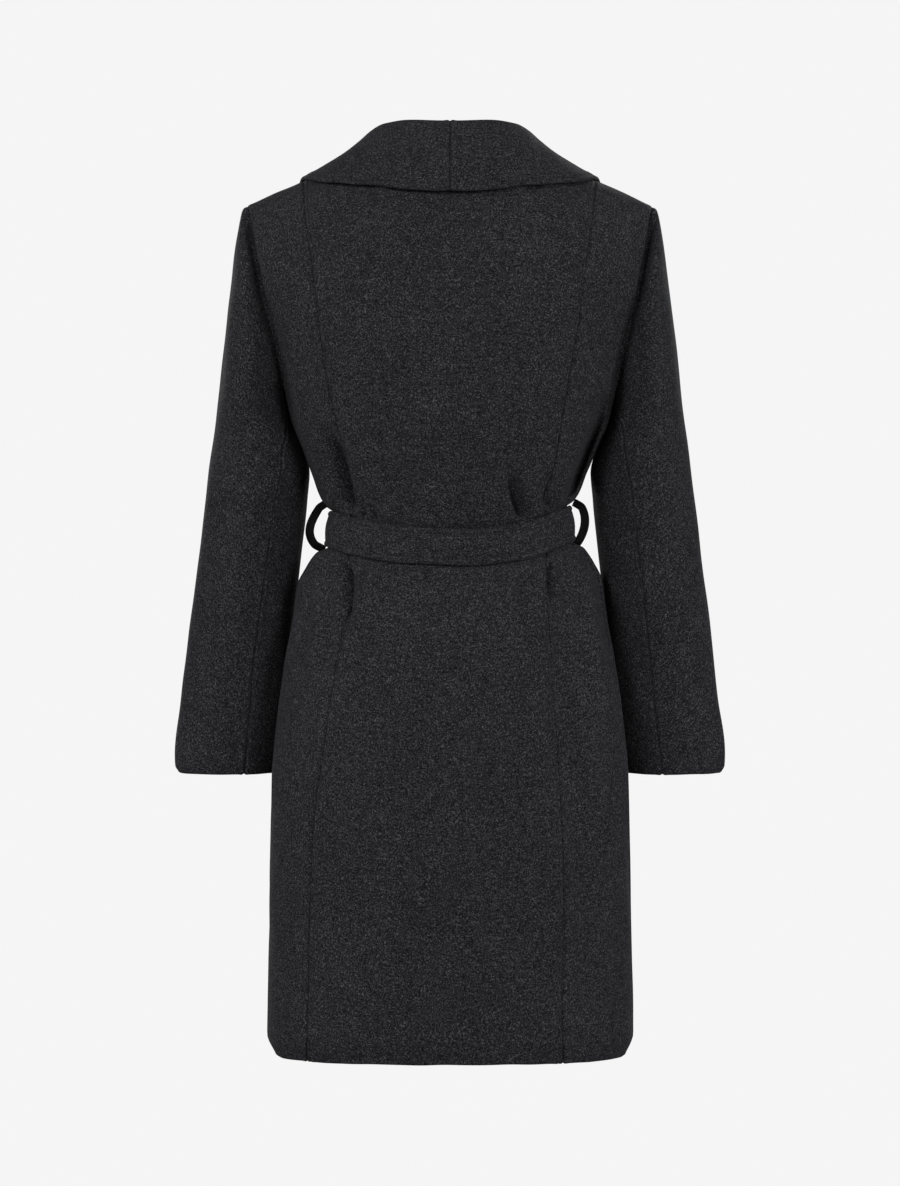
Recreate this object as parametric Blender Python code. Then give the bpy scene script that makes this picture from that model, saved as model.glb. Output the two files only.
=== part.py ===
"""A knee-length belted wrap coat, worn and hollow, cut from 2 mm wool.

The coat hangs from its shoulders. The origin is the centre of the neck, level with the place where
the shoulders carry the cloth. +Z is up, the wearer faces -Y, and the wearer's left is +X.

Every body panel lies on one surface, coat_point(angle, height). The angle runs round the body from
the centre back (0) over the wearer's left side (90) to the centre front (180); the right side is
negative. The height is the level on the body: 0 on the shoulder line, negative below it.
"""

import math
from collections import namedtuple

import bpy
import numpy as np

# Cloth and seams, in metres.
WALL = 0.002
SEAM_GAP = 0.0003
COLLAR_THICK = 0.004
BELT_THICK = 0.0035

# Levels on the body.
BLADE = -0.130
UNDERARM = -0.235
BELT_TOP = -0.379
BELT_MIDDLE = -0.3975
BELT_BOTTOM = -0.416
BREAK = -0.352
HEM = -0.926
CUFF = -0.634

# The shoulder line and the neck.
NECK_HALF = 0.079
NECK_BACK = 0.058
NECK_LEVEL = 0.018
NECK_DROP = 0.020
SHOULDER_TIP = 0.212
SHOULDER_SLOPE = 0.40
TIP_DROP = 0.0032

# The armhole: how far short of the side its back and front edges stop, in degrees.
ARMHOLE_BACK = 21.0
ARMHOLE_FRONT = 24.0

# The belt pulls the waist up at the sides.
SIDE_RISE = 0.021
RISE_SPREAD = 0.10

# The under front lies this far inside the over front, easing out over EASE past its edge.
UNDER_TUCK = 0.0105
UNDER_EASE = 0.055

# Angles round the armhole that carry a vertex, and the two sleeve seams among them.
RING_STEP = 18
SLEEVE_BACK_SEAM = 108
SLEEVE_FRONT_SEAM = 234

Width = namedtuple("Width", "height half_width")
BODY_WIDTHS = [
    Width(-0.130, 0.2060),
    Width(-0.165, 0.1945),
    Width(-0.200, 0.1816),
    Width(-0.235, 0.1715),
    Width(-0.270, 0.1640),
    Width(-0.300, 0.1580),
    Width(-0.336, 0.1462),
    Width(-0.360, 0.1375),
    Width(-0.3745, 0.1280),
    Width(-0.378, 0.1230),
    Width(-0.3975, 0.1262),
    Width(-0.417, 0.1285),
    Width(-0.4205, 0.1385),
    Width(-0.427, 0.1455),
    Width(-0.435, 0.1515),
    Width(-0.450, 0.1600),
    Width(-0.480, 0.1650),
    Width(-0.520, 0.1735),
    Width(-0.560, 0.1795),
    Width(-0.600, 0.1840),
    Width(-0.631, 0.1870),
    Width(-0.714, 0.1885),
    Width(-0.820, 0.1905),
    Width(-0.905, 0.1918),
    Width(-0.926, 0.1855),
]

Depth = namedtuple("Depth", "height back front roundness")
BODY_DEPTHS = [
    Depth(-0.130, 0.1250, 0.1180, 2.30),
    Depth(-0.200, 0.1230, 0.1300, 2.28),
    Depth(-0.260, 0.1165, 0.1270, 2.25),
    Depth(-0.320, 0.1040, 0.1150, 2.22),
    Depth(-0.355, 0.0970, 0.1070, 2.20),
    Depth(-0.3745, 0.0915, 0.1025, 2.20),
    Depth(-0.378, 0.0885, 0.1005, 2.20),
    Depth(-0.3975, 0.0880, 0.1000, 2.20),
    Depth(-0.417, 0.0885, 0.1005, 2.20),
    Depth(-0.4205, 0.0920, 0.1030, 2.20),
    Depth(-0.430, 0.0980, 0.1080, 2.20),
    Depth(-0.480, 0.1120, 0.1180, 2.24),
    Depth(-0.560, 0.1240, 0.1260, 2.28),
    Depth(-0.650, 0.1300, 0.1300, 2.30),
    Depth(-0.820, 0.1320, 0.1340, 2.30),
    Depth(-0.905, 0.1340, 0.1360, 2.30),
    Depth(-0.926, 0.1310, 0.1330, 2.30),
]

# Where each princess seam lies, as its distance from the centre back.
Princess = namedtuple("Princess", "height left right")
PRINCESS_SEAMS = [
    Princess(0.000, 0.1540, 0.1530),
    Princess(-0.070, 0.1500, 0.1480),
    Princess(-0.103, 0.1443, 0.1420),
    Princess(-0.134, 0.1392, 0.1365),
    Princess(-0.185, 0.1331, 0.1295),
    Princess(-0.226, 0.1270, 0.1225),
    Princess(-0.267, 0.1189, 0.1155),
    Princess(-0.307, 0.1119, 0.1090),
    Princess(-0.375, 0.1029, 0.1010),
    Princess(-0.420, 0.1050, 0.1000),
    Princess(-0.500, 0.1160, 0.1085),
    Princess(-0.586, 0.1277, 0.1170),
    Princess(-0.696, 0.1419, 0.1180),
    Princess(-0.880, 0.1470, 0.1150),
    Princess(-0.926, 0.1480, 0.1165),
]

# Where each side seam lies, in degrees from the centre back.
SideSeam = namedtuple("SideSeam", "height left right")
SIDE_SEAMS = [
    SideSeam(-0.235, 90, 90),
    SideSeam(-0.300, 92, 82),
    SideSeam(-0.400, 94, 77),
    SideSeam(-0.500, 94, 77),
    SideSeam(-0.650, 93, 82),
    SideSeam(-0.926, 92, 86),
]

# The inner edge of the left front: the roll line down to the break, then the front edge.
# The right front mirrors it.
FrontEdge = namedtuple("FrontEdge", "height x")
FRONT_EDGE = [
    FrontEdge(0.000, 0.079),
    FrontEdge(-0.022, 0.077),
    FrontEdge(-0.045, 0.072),
    FrontEdge(-0.085, 0.060),
    FrontEdge(-0.130, 0.045),
    FrontEdge(-0.200, 0.013),
    FrontEdge(-0.225, 0.003),
    FrontEdge(-0.250, -0.012),
    FrontEdge(-0.315, -0.040),
    FrontEdge(-0.352, -0.058),
    FrontEdge(-0.420, -0.064),
    FrontEdge(-0.926, -0.075),
]

# The largest folds. x_top and x_bottom are the trough's ends seen from behind or in front;
# it is deepest at the peak level and dies away at top and bottom. Width is a half width.
Fold = namedtuple("Fold", "name front x_top top peak x_bottom bottom depth width")
FOLDS = [
    Fold("waist crease at the left seam", False, 0.126, -0.250, -0.362, 0.104, -0.377, 0.008, 0.009),
    Fold("small waist crease right", False, -0.056, -0.318, -0.366, -0.083, -0.377, 0.004, 0.009),
    Fold("skirt crease left", False, 0.112, -0.418, -0.445, 0.127, -0.560, 0.007, 0.010),
    Fold("skirt crease at the left seam", False, 0.101, -0.418, -0.435, 0.108, -0.500, 0.004, 0.009),
    Fold("faint skirt crease right", False, -0.076, -0.418, -0.440, -0.058, -0.540, 0.003, 0.012),
    Fold("large skirt fold right", False, -0.112, -0.419, -0.560, -0.146, -0.900, 0.011, 0.018),
    Fold("front waist crease left", True, 0.092, -0.260, -0.360, 0.080, -0.377, 0.006, 0.012),
    Fold("front waist crease right", True, -0.098, -0.280, -0.362, -0.086, -0.377, 0.007, 0.012),
    Fold("front skirt fold left", True, 0.088, -0.418, -0.470, 0.112, -0.780, 0.008, 0.016),
    Fold("front skirt fold right", True, -0.092, -0.418, -0.450, -0.118, -0.700, 0.008, 0.016),
]

# The sleeve's sections: the outer and inner edge seen from behind, then the middle and the
# half depth seen from the side.
SleeveEdge = namedtuple("SleeveEdge", "height x")
SLEEVE_OUTER = [
    SleeveEdge(-0.0395, 0.2155),
    SleeveEdge(-0.050, 0.2190),
    SleeveEdge(-0.0734, 0.2237),
    SleeveEdge(-0.1154, 0.2289),
    SleeveEdge(-0.157, 0.2346),
    SleeveEdge(-0.241, 0.2450),
    SleeveEdge(-0.294, 0.2524),
    SleeveEdge(-0.346, 0.2594),
    SleeveEdge(-0.394, 0.2650),
    SleeveEdge(-0.472, 0.2755),
    SleeveEdge(-0.556, 0.2855),
    SleeveEdge(-0.620, 0.2932),
    SleeveEdge(-0.634, 0.2925),
]
SLEEVE_INNER = [
    SleeveEdge(-0.050, 0.190),
    SleeveEdge(-0.120, 0.180),
    SleeveEdge(-0.235, 0.178),
    SleeveEdge(-0.250, 0.1705),
    SleeveEdge(-0.270, 0.1632),
    SleeveEdge(-0.295, 0.1570),
    SleeveEdge(-0.320, 0.1492),
    SleeveEdge(-0.345, 0.1510),
    SleeveEdge(-0.425, 0.1597),
    SleeveEdge(-0.500, 0.1675),
    SleeveEdge(-0.634, 0.1825),
]
SleeveSide = namedtuple("SleeveSide", "height middle half_depth")
SLEEVE_SIDES = [
    SleeveSide(-0.044, 0.000, 0.050),
    SleeveSide(-0.120, -0.005, 0.066),
    SleeveSide(-0.235, -0.026, 0.070),
    SleeveSide(-0.270, -0.037, 0.068),
    SleeveSide(-0.320, -0.041, 0.065),
    SleeveSide(-0.425, -0.048, 0.058),
    SleeveSide(-0.530, -0.055, 0.050),
    SleeveSide(-0.634, -0.060, 0.043),
]
SLEEVE_LENGTH = 0.59
SLEEVE_SEAM_ROLL = 0.007
SLEEVE_CAP = 0.06

# Rows of vertices down the sleeve, as shares of its length.
SLEEVE_ROWS = [
    0, 0.008, 0.018, 0.03, 0.045, 0.065, 0.10, 0.16, 0.23,
    0.31, 0.40, 0.50, 0.61, 0.73, 0.86, 0.98, 1,
]
SLEEVE_SWING = 4.0

# The collar's stations, measured along its seam from the centre back.
# edge_x and edge_level place its outer edge on the coat (level > 0 on the back, < 0 in front).
Station = namedtuple("Station", "along edge_x edge_level stand lean clear")
COLLAR_STATIONS = [
    Station(0.0000, 0.000, 0.0579, 0.0418, 0.008, 0.0022),
    Station(0.0419, 0.058, 0.0655, 0.0336, 0.006, 0.0026),
    Station(0.0754, 0.112, 0.0545, 0.0235, 0.001, 0.0028),
    Station(0.0930, 0.135, 0.0347, 0.0175, -0.001, 0.0030),
    Station(0.1087, 0.1535, 0.0000, 0.0155, -0.002, 0.0034),
    Station(0.1307, 0.160, -0.0200, 0.0135, -0.001, 0.0035),
    Station(0.1537, 0.161, -0.0550, 0.0090, 0.000, 0.0035),
    Station(0.1937, 0.152, -0.1000, 0.0030, 0.000, 0.0031),
    Station(0.2587, 0.122, -0.1800, 0.0010, 0.000, 0.0026),
    Station(0.3337, 0.072, -0.2520, 0.0005, 0.000, 0.0022),
    Station(0.4237, -0.010, -0.3270, 0.0005, 0.000, 0.0009),
    Station(0.4607, -0.050, -0.3530, 0.0005, 0.000, 0.0009),
]
NECK_SEAM = 0.1087
STAND_TURNS_OVER = 0.10
COLLAR_ROLL = 0.0009
BASE_DEPTH = 0.0015
COLLAR_FALL_POWER = 1.45
COLLAR_ROLL_SHARES = [0.0, 0.33, 0.66, 1.0]
COLLAR_FALL = [0.08, 0.22, 0.38, 0.55, 0.72, 0.88, 1.0]

# Turns round the back neck, from the centre to the shoulder, that carry a vertex. Beyond the
# neck the centre back's columns stand at these shares of the way to the princess seam.
NECK_TURNS = np.arange(0, 91, 15)
BEYOND_NECK = [0.63, 0.75, 0.88, 1.0]
SIDE_COLUMNS = 6

# Columns of a front, crowded towards its inner edge.
FRONT_COLUMNS = 11
FRONT_CROWDING = 1.3

# Rows of vertices below the armhole.
SKIRT_LEVELS = [
    -0.262, -0.290, -0.318, -0.340, -0.358, -0.3745, -0.378, -0.3975, -0.417, -0.4205, -0.427,
    -0.435, -0.450, -0.480, -0.520, -0.570, -0.631, -0.700, -0.770, -0.840, -0.905, -0.926,
]

# The tie belt, its knot and its ends.
BELT_GAP = 0.0006
KNOT_HALF_WIDTH = 0.020
KNOT_HALF_HEIGHT = 0.024
KNOT_DEPTH = 0.021
KNOT_ROUNDNESS = 0.6
KNOT_GROOVE = 0.25
KNOT_GROOVE_WIDTH = 0.006
BAND_COLUMNS = 61
BAND_UNDER_KNOT = 0.0015
TAIL_WIDTH = 0.038
TAIL_NECK_WIDTH = 0.026
TAIL_WIDENS_OVER = 0.06
TAIL_SPREADS_OVER = 0.12
TAIL_SETTLES_OVER = 0.16
TAIL_ROWS = [0, 0.05, 0.12, 0.20, 0.30, 0.43, 0.57, 0.71, 0.85, 1]
TAIL_COLUMNS = [-0.5, -0.17, 0.17, 0.5]
Tail = namedtuple("Tail", "name top x_top x_bottom length lift")
TAILS = [
    Tail("belt_tail_left", -0.4238, 0.007, 0.036, 0.380, 0.0030),
    Tail("belt_tail_right", -0.4252, -0.007, -0.034, 0.345, 0.0075),
]

# The carriers that hold the belt at the sides. Sag moves the widest point down.
LOOP_TOP = -0.3680
LOOP_BOTTOM = -0.4200
LOOP_FULLNESS = 0.7
LOOP_WIDTH = 0.0115
LOOP_THICK = 0.003
LOOP_TWIST = 42.0
LOOP_ROWS = 13
Loop = namedtuple("Loop", "side sign angle seat bulge sag")
LOOPS = [
    Loop("left", 1, 91.0, 0.0009, 0.0130, 1.35),
    Loop("right", -1, 88.0, 0.0002, 0.0100, 0.90),
]

# Small steps that find a direction: degrees round, metres or a share along.
STEP_ROUND = 0.4
STEP_ALONG = 0.0004
COLLAR_STEP = 0.002
SHARE_STEP = 0.02

Finish = namedtuple("Finish", "name color roughness")
WOOL = Finish("charcoal_wool", (0.021, 0.021, 0.024), 0.95)
LOOP_WOOL = Finish("black_wool", (0.008, 0.008, 0.009), 0.9)


class Curve:
    """A smooth curve through two columns of a table, with no overshoot between its rows."""

    def __init__(self, rows, along, value):
        pairs = sorted((getattr(row, along), getattr(row, value)) for row in rows)
        self.x, self.y = np.array(pairs, float).T
        step = np.diff(self.x)
        rise = np.diff(self.y) / step
        before = 2 * step[1:] + step[:-1]
        after = step[1:] + 2 * step[:-1]
        same_way = rise[1:] * rise[:-1] > 0
        safe_a = np.where(same_way, rise[:-1], 1)
        safe_b = np.where(same_way, rise[1:], 1)
        inner = np.where(same_way, (before + after) / (before / safe_a + after / safe_b), 0)
        self.slope = np.concatenate([rise[:1], inner, rise[-1:]])

    def __call__(self, x):
        x = np.clip(x, self.x[0], self.x[-1])
        i = np.clip(np.searchsorted(self.x, x) - 1, 0, len(self.x) - 2)
        step = self.x[i + 1] - self.x[i]
        t = (x - self.x[i]) / step
        keep = (1 + 2 * t) * (1 - t) ** 2 * self.y[i] + t**2 * (3 - 2 * t) * self.y[i + 1]
        bend = t * (1 - t) ** 2 * self.slope[i] - t**2 * (1 - t) * self.slope[i + 1]
        return keep + bend * step


half_width_at = Curve(BODY_WIDTHS, "height", "half_width")
back_depth_at = Curve(BODY_DEPTHS, "height", "back")
front_depth_at = Curve(BODY_DEPTHS, "height", "front")
roundness_at = Curve(BODY_DEPTHS, "height", "roundness")
princess_left_at = Curve(PRINCESS_SEAMS, "height", "left")
princess_right_at = Curve(PRINCESS_SEAMS, "height", "right")
side_left_at = Curve(SIDE_SEAMS, "height", "left")
side_right_at = Curve(SIDE_SEAMS, "height", "right")
front_edge_at = Curve(FRONT_EDGE, "height", "x")
sleeve_outer_at = Curve(SLEEVE_OUTER, "height", "x")
sleeve_inner_at = Curve(SLEEVE_INNER, "height", "x")
sleeve_middle_at = Curve(SLEEVE_SIDES, "height", "middle")
sleeve_depth_at = Curve(SLEEVE_SIDES, "height", "half_depth")
collar_edge_x_at = Curve(COLLAR_STATIONS, "along", "edge_x")
collar_edge_level_at = Curve(COLLAR_STATIONS, "along", "edge_level")
collar_stand_at = Curve(COLLAR_STATIONS, "along", "stand")
collar_lean_at = Curve(COLLAR_STATIONS, "along", "lean")
collar_clear_at = Curve(COLLAR_STATIONS, "along", "clear")


def smooth_step(t):
    """0 below 0, 1 above 1 and an even S between them."""
    t = np.clip(t, 0, 1)
    return t * t * (3 - 2 * t)


def unit(vectors):
    return vectors / np.linalg.norm(vectors, axis=-1, keepdims=True)


def stacked(x, y, z):
    return np.stack(np.broadcast_arrays(x, y, z), axis=-1).astype(float)


def signed_power(base, power):
    return np.sign(base) * np.abs(base) ** power


# ---- the body's surface -------------------------------------------------------------------


def blade_edge(short_of_side):
    """Half width, at the blade level, of the armhole edge that stops this far short of the side."""
    share = math.cos(math.radians(short_of_side)) ** (2 / float(roundness_at(BLADE)))
    return float(half_width_at(BLADE)) * share


BACK_SPREAD = SHOULDER_TIP / blade_edge(ARMHOLE_BACK)
FRONT_SPREAD = SHOULDER_TIP / blade_edge(ARMHOLE_FRONT)


def shoulder_turn(height):
    """The turn from the shoulder line (0) to the blade level (90 degrees), in radians."""
    return np.clip(np.asarray(height, float) / BLADE, 0, 1) * math.pi / 2


def fold_depth(x, height, front):
    """How far the folds pull the cloth in at this place."""
    depth = np.zeros(np.broadcast(x, height).shape)
    for fold in FOLDS:
        along = np.clip((fold.top - height) / (fold.top - fold.bottom), 0, 1)
        centre = fold.x_top + (fold.x_bottom - fold.x_top) * along
        swell = smooth_step((fold.top - height) / (fold.top - fold.peak))
        fade = smooth_step((height - fold.bottom) / (fold.peak - fold.bottom))
        across = np.exp(-(((x - centre) / fold.width) ** 2))
        depth += np.where(front == fold.front, fold.depth * swell * fade * across, 0)
    return depth


def under_tuck(x, height):
    """How far the left front lies inside the surface, where the right front covers it."""
    cover = -front_edge_at(height)
    return UNDER_TUCK * smooth_step((cover + UNDER_EASE - x) / UNDER_EASE)


def coat_point(angle, height, under=False):
    """A point of the coat's outer surface.

    Below the blade level each section is a superellipse. Above it the cloth turns over to the
    shoulder line along a quarter of an ellipse.
    """
    angle, height = np.broadcast_arrays(np.asarray(angle, float), np.asarray(height, float))
    level = np.minimum(height, BLADE)
    turn = np.radians(angle)
    sine, cosine = np.sin(turn), np.cos(turn)
    back = cosine > 0
    power = 2 / roundness_at(level)
    x = half_width_at(level) * signed_power(sine, power)
    y = np.where(back, back_depth_at(level), front_depth_at(level)) * signed_power(cosine, power)
    lift = np.exp(-(((level - BELT_MIDDLE) / RISE_SPREAD) ** 2))
    z = level + SIDE_RISE * np.where(back, sine**2, 1) * lift

    x_top = np.where(back, BACK_SPREAD, FRONT_SPREAD) * x
    neck = np.clip(1 - (x_top / NECK_HALF) ** 2, 0, 1)
    y_top = np.where(back, NECK_BACK * np.sqrt(neck), 0)
    slope = SHOULDER_SLOPE * np.maximum(np.abs(x_top) - NECK_HALF, 0)
    tip = TIP_DROP * np.abs(x_top / SHOULDER_TIP) ** 6
    front_rise = SHOULDER_SLOPE * NECK_HALF / 2 * neck
    z_top = NECK_LEVEL - slope - tip + np.where(back, -NECK_DROP * neck**2, front_rise)

    over = shoulder_turn(height)
    x = x + (x_top - x) * np.cos(over)
    y = y_top + (y - y_top) * np.sin(over)
    z = z_top + (z - z_top) * (1 - np.cos(over))

    inward = fold_depth(x, height, ~back)
    if under:
        inward = inward + under_tuck(x, height)
    return stacked(x - inward * sine, y - inward * cosine, z)


def coat_normal(angle, height, under=False):
    """The outward direction of the surface, from small steps along it."""
    height = np.minimum(height, -STEP_ALONG)
    ahead, behind = angle + STEP_ROUND, angle - STEP_ROUND
    above, below = height + STEP_ALONG, height - STEP_ALONG
    across = coat_point(ahead, height, under) - coat_point(behind, height, under)
    up = coat_point(angle, above, under) - coat_point(angle, below, under)
    return unit(np.cross(up, across))


def angle_at(x, height, front=False):
    """The angle of the surface point that lies this far from the middle."""
    level = np.minimum(height, BLADE)
    spread = FRONT_SPREAD if front else BACK_SPREAD
    section_x = x / (1 + (spread - 1) * np.cos(shoulder_turn(height)))
    share = np.clip(np.abs(section_x) / half_width_at(level), 0, 1)
    turn = np.degrees(np.arcsin(share ** (roundness_at(level) / 2))) * np.sign(x)
    return 180 - turn if front else turn


def armhole_angle(height, short_of_side):
    """The armhole edge: straight above the blade level, then a quarter round to the underarm."""
    below = np.clip((BLADE - height) / (BLADE - UNDERARM), 0, 1)
    return 90 - short_of_side * np.sqrt(1 - below**2)


def ring_height(around):
    """The level of the armhole edge at an angle round it: 0 at the shoulder, 180 underarm."""
    return UNDERARM * (1 - np.cos(np.radians(around))) / 2


# ---- solids -------------------------------------------------------------------------------


def add_object(name, points, faces, finish):
    """A closed mesh object, its faces turned outwards, with its own material."""
    corners = [face[:3] for face in faces] + [(f[0], f[2], f[3]) for f in faces if len(f) == 4]
    if np.linalg.det(points[np.array(corners)]).sum() < 0:
        faces = [face[::-1] for face in faces]
    mesh = bpy.data.meshes.new(name)
    mesh.from_pydata(points.tolist(), [], [list(map(int, face)) for face in faces])
    mesh.shade_smooth()
    mesh.set_sharp_from_angle(angle=math.radians(50))
    material = bpy.data.materials.new(name + "_" + finish.name)
    material.use_nodes = True
    shader = material.node_tree.nodes["Principled BSDF"]
    shader.inputs["Base Color"].default_value = (*finish.color, 1)
    shader.inputs["Roughness"].default_value = finish.roughness
    shader.inputs["Metallic"].default_value = 0
    mesh.materials.append(material)
    placed = bpy.data.objects.new(name, mesh)
    bpy.context.scene.collection.objects.link(placed)
    return placed


def add_wall(name, outer, inner, finish=WOOL):
    """A sheet with two faces and a rim all round, from two grids of points."""
    rows, columns = outer.shape[:2]
    front = np.arange(rows * columns).reshape(rows, columns)
    back = front + rows * columns
    quads = np.stack([front[:-1, :-1], front[:-1, 1:], front[1:, 1:], front[1:, :-1]], axis=-1)
    quads = quads.reshape(-1, 4)
    ring = np.concatenate([front[0, :-1], front[:-1, -1], front[-1, :0:-1], front[:0:-1, 0]])
    after = np.roll(ring, -1)
    behind, after_behind = ring + back[0, 0], after + back[0, 0]
    points = np.concatenate([outer.reshape(-1, 3), inner.reshape(-1, 3)])
    down = (points[ring, 2] >= points[after, 2])[:, None]
    first = np.stack([after, ring, np.where(down[:, 0], after_behind, behind)], axis=-1)
    second = np.where(
        down,
        np.stack([ring, behind, after_behind], axis=-1),
        np.stack([after, behind, after_behind], axis=-1),
    )
    faces = [*quads.tolist(), *(quads[:, ::-1] + back[0, 0]).tolist()]
    return add_object(name, points, faces + first.tolist() + second.tolist(), finish)


def add_panel(name, angles, levels, seam_columns, under=False):
    """A body panel from the angles of its vertices, a row for each level.

    Its side and shoulder edges stand half a seam gap back; an armhole edge stays on its line.
    """
    heights = np.broadcast_to(levels[:, None], angles.shape)
    outer = coat_point(angles, heights, under)
    normal = coat_normal(angles, heights, under)
    for column, from_level in seam_columns:
        neighbour = 1 if column == 0 else -2
        rows = levels <= from_level + 1e-9
        inward = unit(outer[rows, neighbour] - outer[rows, column])
        outer[rows, column] += inward * SEAM_GAP / 2
    outer[0] += unit(outer[1] - outer[0]) * SEAM_GAP / 2
    return add_wall(name, outer, outer - normal * WALL)


def spread_between(first, last, shares):
    """A row of values for each pair of ends, at these shares of the way from first to last."""
    return first[:, None] + (last - first)[:, None] * shares[None, :]


# ---- the coat -----------------------------------------------------------------------------


def body_levels():
    ring = ring_height(np.arange(0, 180 + RING_STEP, RING_STEP))
    return np.concatenate([ring, SKIRT_LEVELS])


def neck_columns():
    """Shares of the way from the centre back to the princess seam, even round the neck."""
    neck = NECK_HALF * np.sin(np.radians(NECK_TURNS)) / PRINCESS_SEAMS[0].left
    return np.concatenate([neck, BEYOND_NECK])


def build_back(levels):
    columns = neck_columns()
    left = angle_at(princess_left_at(levels)[:, None] * columns, levels[:, None])
    right = angle_at(-princess_right_at(levels)[:, None] * columns[:0:-1], levels[:, None])
    add_panel("back_center", np.hstack([right, left]), levels, [(0, 0.0), (-1, 0.0)])

    shares = np.linspace(0, 1, SIDE_COLUMNS)
    armhole = armhole_angle(levels, ARMHOLE_BACK)
    side = np.where(levels > UNDERARM, armhole, side_left_at(levels))
    angles = spread_between(left[:, -1], side, shares)
    add_panel("back_side_left", angles, levels, [(0, 0.0), (-1, UNDERARM)])
    side = np.where(levels > UNDERARM, armhole, side_right_at(levels))
    angles = spread_between(-side, right[:, 0], shares)
    add_panel("back_side_right", angles, levels, [(0, UNDERARM), (-1, 0.0)])


def build_fronts(levels):
    shares = 1 - np.linspace(1, 0, FRONT_COLUMNS) ** FRONT_CROWDING
    armhole = 180 - armhole_angle(levels, ARMHOLE_FRONT)
    edge = angle_at(front_edge_at(levels), levels, front=True)
    side = np.where(levels > UNDERARM, armhole, side_left_at(levels))
    angles = spread_between(side, edge, shares)
    add_panel("front_left", angles, levels, [(0, UNDERARM)], under=True)
    side = np.where(levels > UNDERARM, armhole, side_right_at(levels))
    angles = spread_between(-edge, -side, 1 - shares[::-1])
    add_panel("front_right", angles, levels, [(-1, UNDERARM)])


def armhole_point(around):
    """A point of the left armhole's edge, with the body's outward direction there."""
    around = np.mod(around, 360.0)
    height = ring_height(around)
    back = around <= 180
    angle = np.where(
        back, armhole_angle(height, ARMHOLE_BACK), 180 - armhole_angle(height, ARMHOLE_FRONT)
    )
    return coat_point(angle, height), coat_normal(angle, height)


def sleeve_point(around, along):
    """A point of the left sleeve: around it (0 outside, 90 behind, 180 inside), and along it.

    The cloth leaves the armhole in the body's own surface, rolls over within SLEEVE_CAP of its
    length, and then follows the arm's oval sections down to a level cuff.
    """
    edge, normal = armhole_point(around)
    tangent = armhole_point(around + STEP_ROUND)[0] - armhole_point(around - STEP_ROUND)[0]
    beyond = unit(np.cross(tangent, normal))
    reach = SEAM_GAP + SLEEVE_SEAM_ROLL * (1 - np.exp(-SLEEVE_LENGTH * along / SLEEVE_SEAM_ROLL))
    start = edge + beyond * reach[..., None]
    z = edge[..., 2] * (1 - along) + CUFF * along
    outer, inner = sleeve_outer_at(z), sleeve_inner_at(z)
    turn = np.radians(around)
    x = (outer + inner) / 2 + (outer - inner) / 2 * np.cos(turn)
    y = sleeve_middle_at(z) + sleeve_depth_at(z) * np.sin(turn)
    blend = smooth_step(along / SLEEVE_CAP)[..., None]
    return start * (1 - blend) + stacked(x, y, z) * blend


def sleeve_normal(around, along):
    along = np.clip(along, STEP_ALONG, 1 - STEP_ALONG)
    across = sleeve_point(around + STEP_ROUND, along) - sleeve_point(around - STEP_ROUND, along)
    down = sleeve_point(around, along + STEP_ALONG) - sleeve_point(around, along - STEP_ALONG)
    return unit(np.cross(down, across))


def build_sleeve(side, sign):
    """Top and under sleeve. The seams swing a little towards the cuff."""
    along = np.array(SLEEVE_ROWS, float)
    swing = SLEEVE_SWING * sign
    pieces = (
        ("sleeve_top_" + side, SLEEVE_FRONT_SEAM - 360, SLEEVE_BACK_SEAM, 0.0, swing),
        ("sleeve_under_" + side, SLEEVE_BACK_SEAM, SLEEVE_FRONT_SEAM, swing, 0.0),
    )
    for name, first, last, swing_first, swing_last in pieces:
        columns = np.arange(first, last + RING_STEP, RING_STEP, dtype=float)
        shares = (columns - first) / (last - first)
        around = columns + along[:, None] * (swing_first * (1 - shares) + swing_last * shares)
        across = np.broadcast_to(along[:, None], around.shape)
        outer = sleeve_point(around, across)
        normal = sleeve_normal(around, across)
        for column, neighbour in ((0, 1), (-1, -2)):
            inward = unit(outer[:, neighbour] - outer[:, column])
            outer[:, column] += inward * SEAM_GAP / 2
        inner = outer - normal * WALL
        mirror = np.array([sign, 1, 1])
        add_wall(name, outer * mirror, inner * mirror)


def collar_seam(along):
    """The seam line of the left collar: round the back neck, then down the roll line."""
    around_neck = np.clip(along / NECK_SEAM, 0, 1) * math.pi / 2
    level = -np.maximum(along - NECK_SEAM, 0)
    x = np.where(level < 0, front_edge_at(level), NECK_HALF * np.sin(around_neck))
    return x, level


def over_coat(x, level, under):
    """Point and normal of the coat under the collar; level > 0 is the back, < 0 the front."""
    height = -np.abs(level)
    angle = np.where(level < 0, angle_at(x, height, front=True), angle_at(x, height))
    return coat_point(angle, height, under), coat_normal(angle, height, under)


def collar_frame(along, under):
    """Seam point, stand direction, and the way out of the panel's edge, at each station.

    The stand is upright round the neck and turns into the coat's own outward direction below it.
    """
    x, level = collar_seam(along)
    seam, surface = over_coat(x, level, under)
    turned = smooth_step((along - NECK_SEAM) / STAND_TURNS_OVER)[..., None]
    normal = unit(np.array([0, 0, 1]) * (1 - turned) + surface * turned)
    ahead = over_coat(*collar_seam(along + COLLAR_STEP), under)[0]
    behind = over_coat(*collar_seam(np.maximum(along - COLLAR_STEP, 0)), under)[0]
    way_out = unit(np.cross(ahead - behind, normal))
    return seam, normal, way_out


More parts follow.
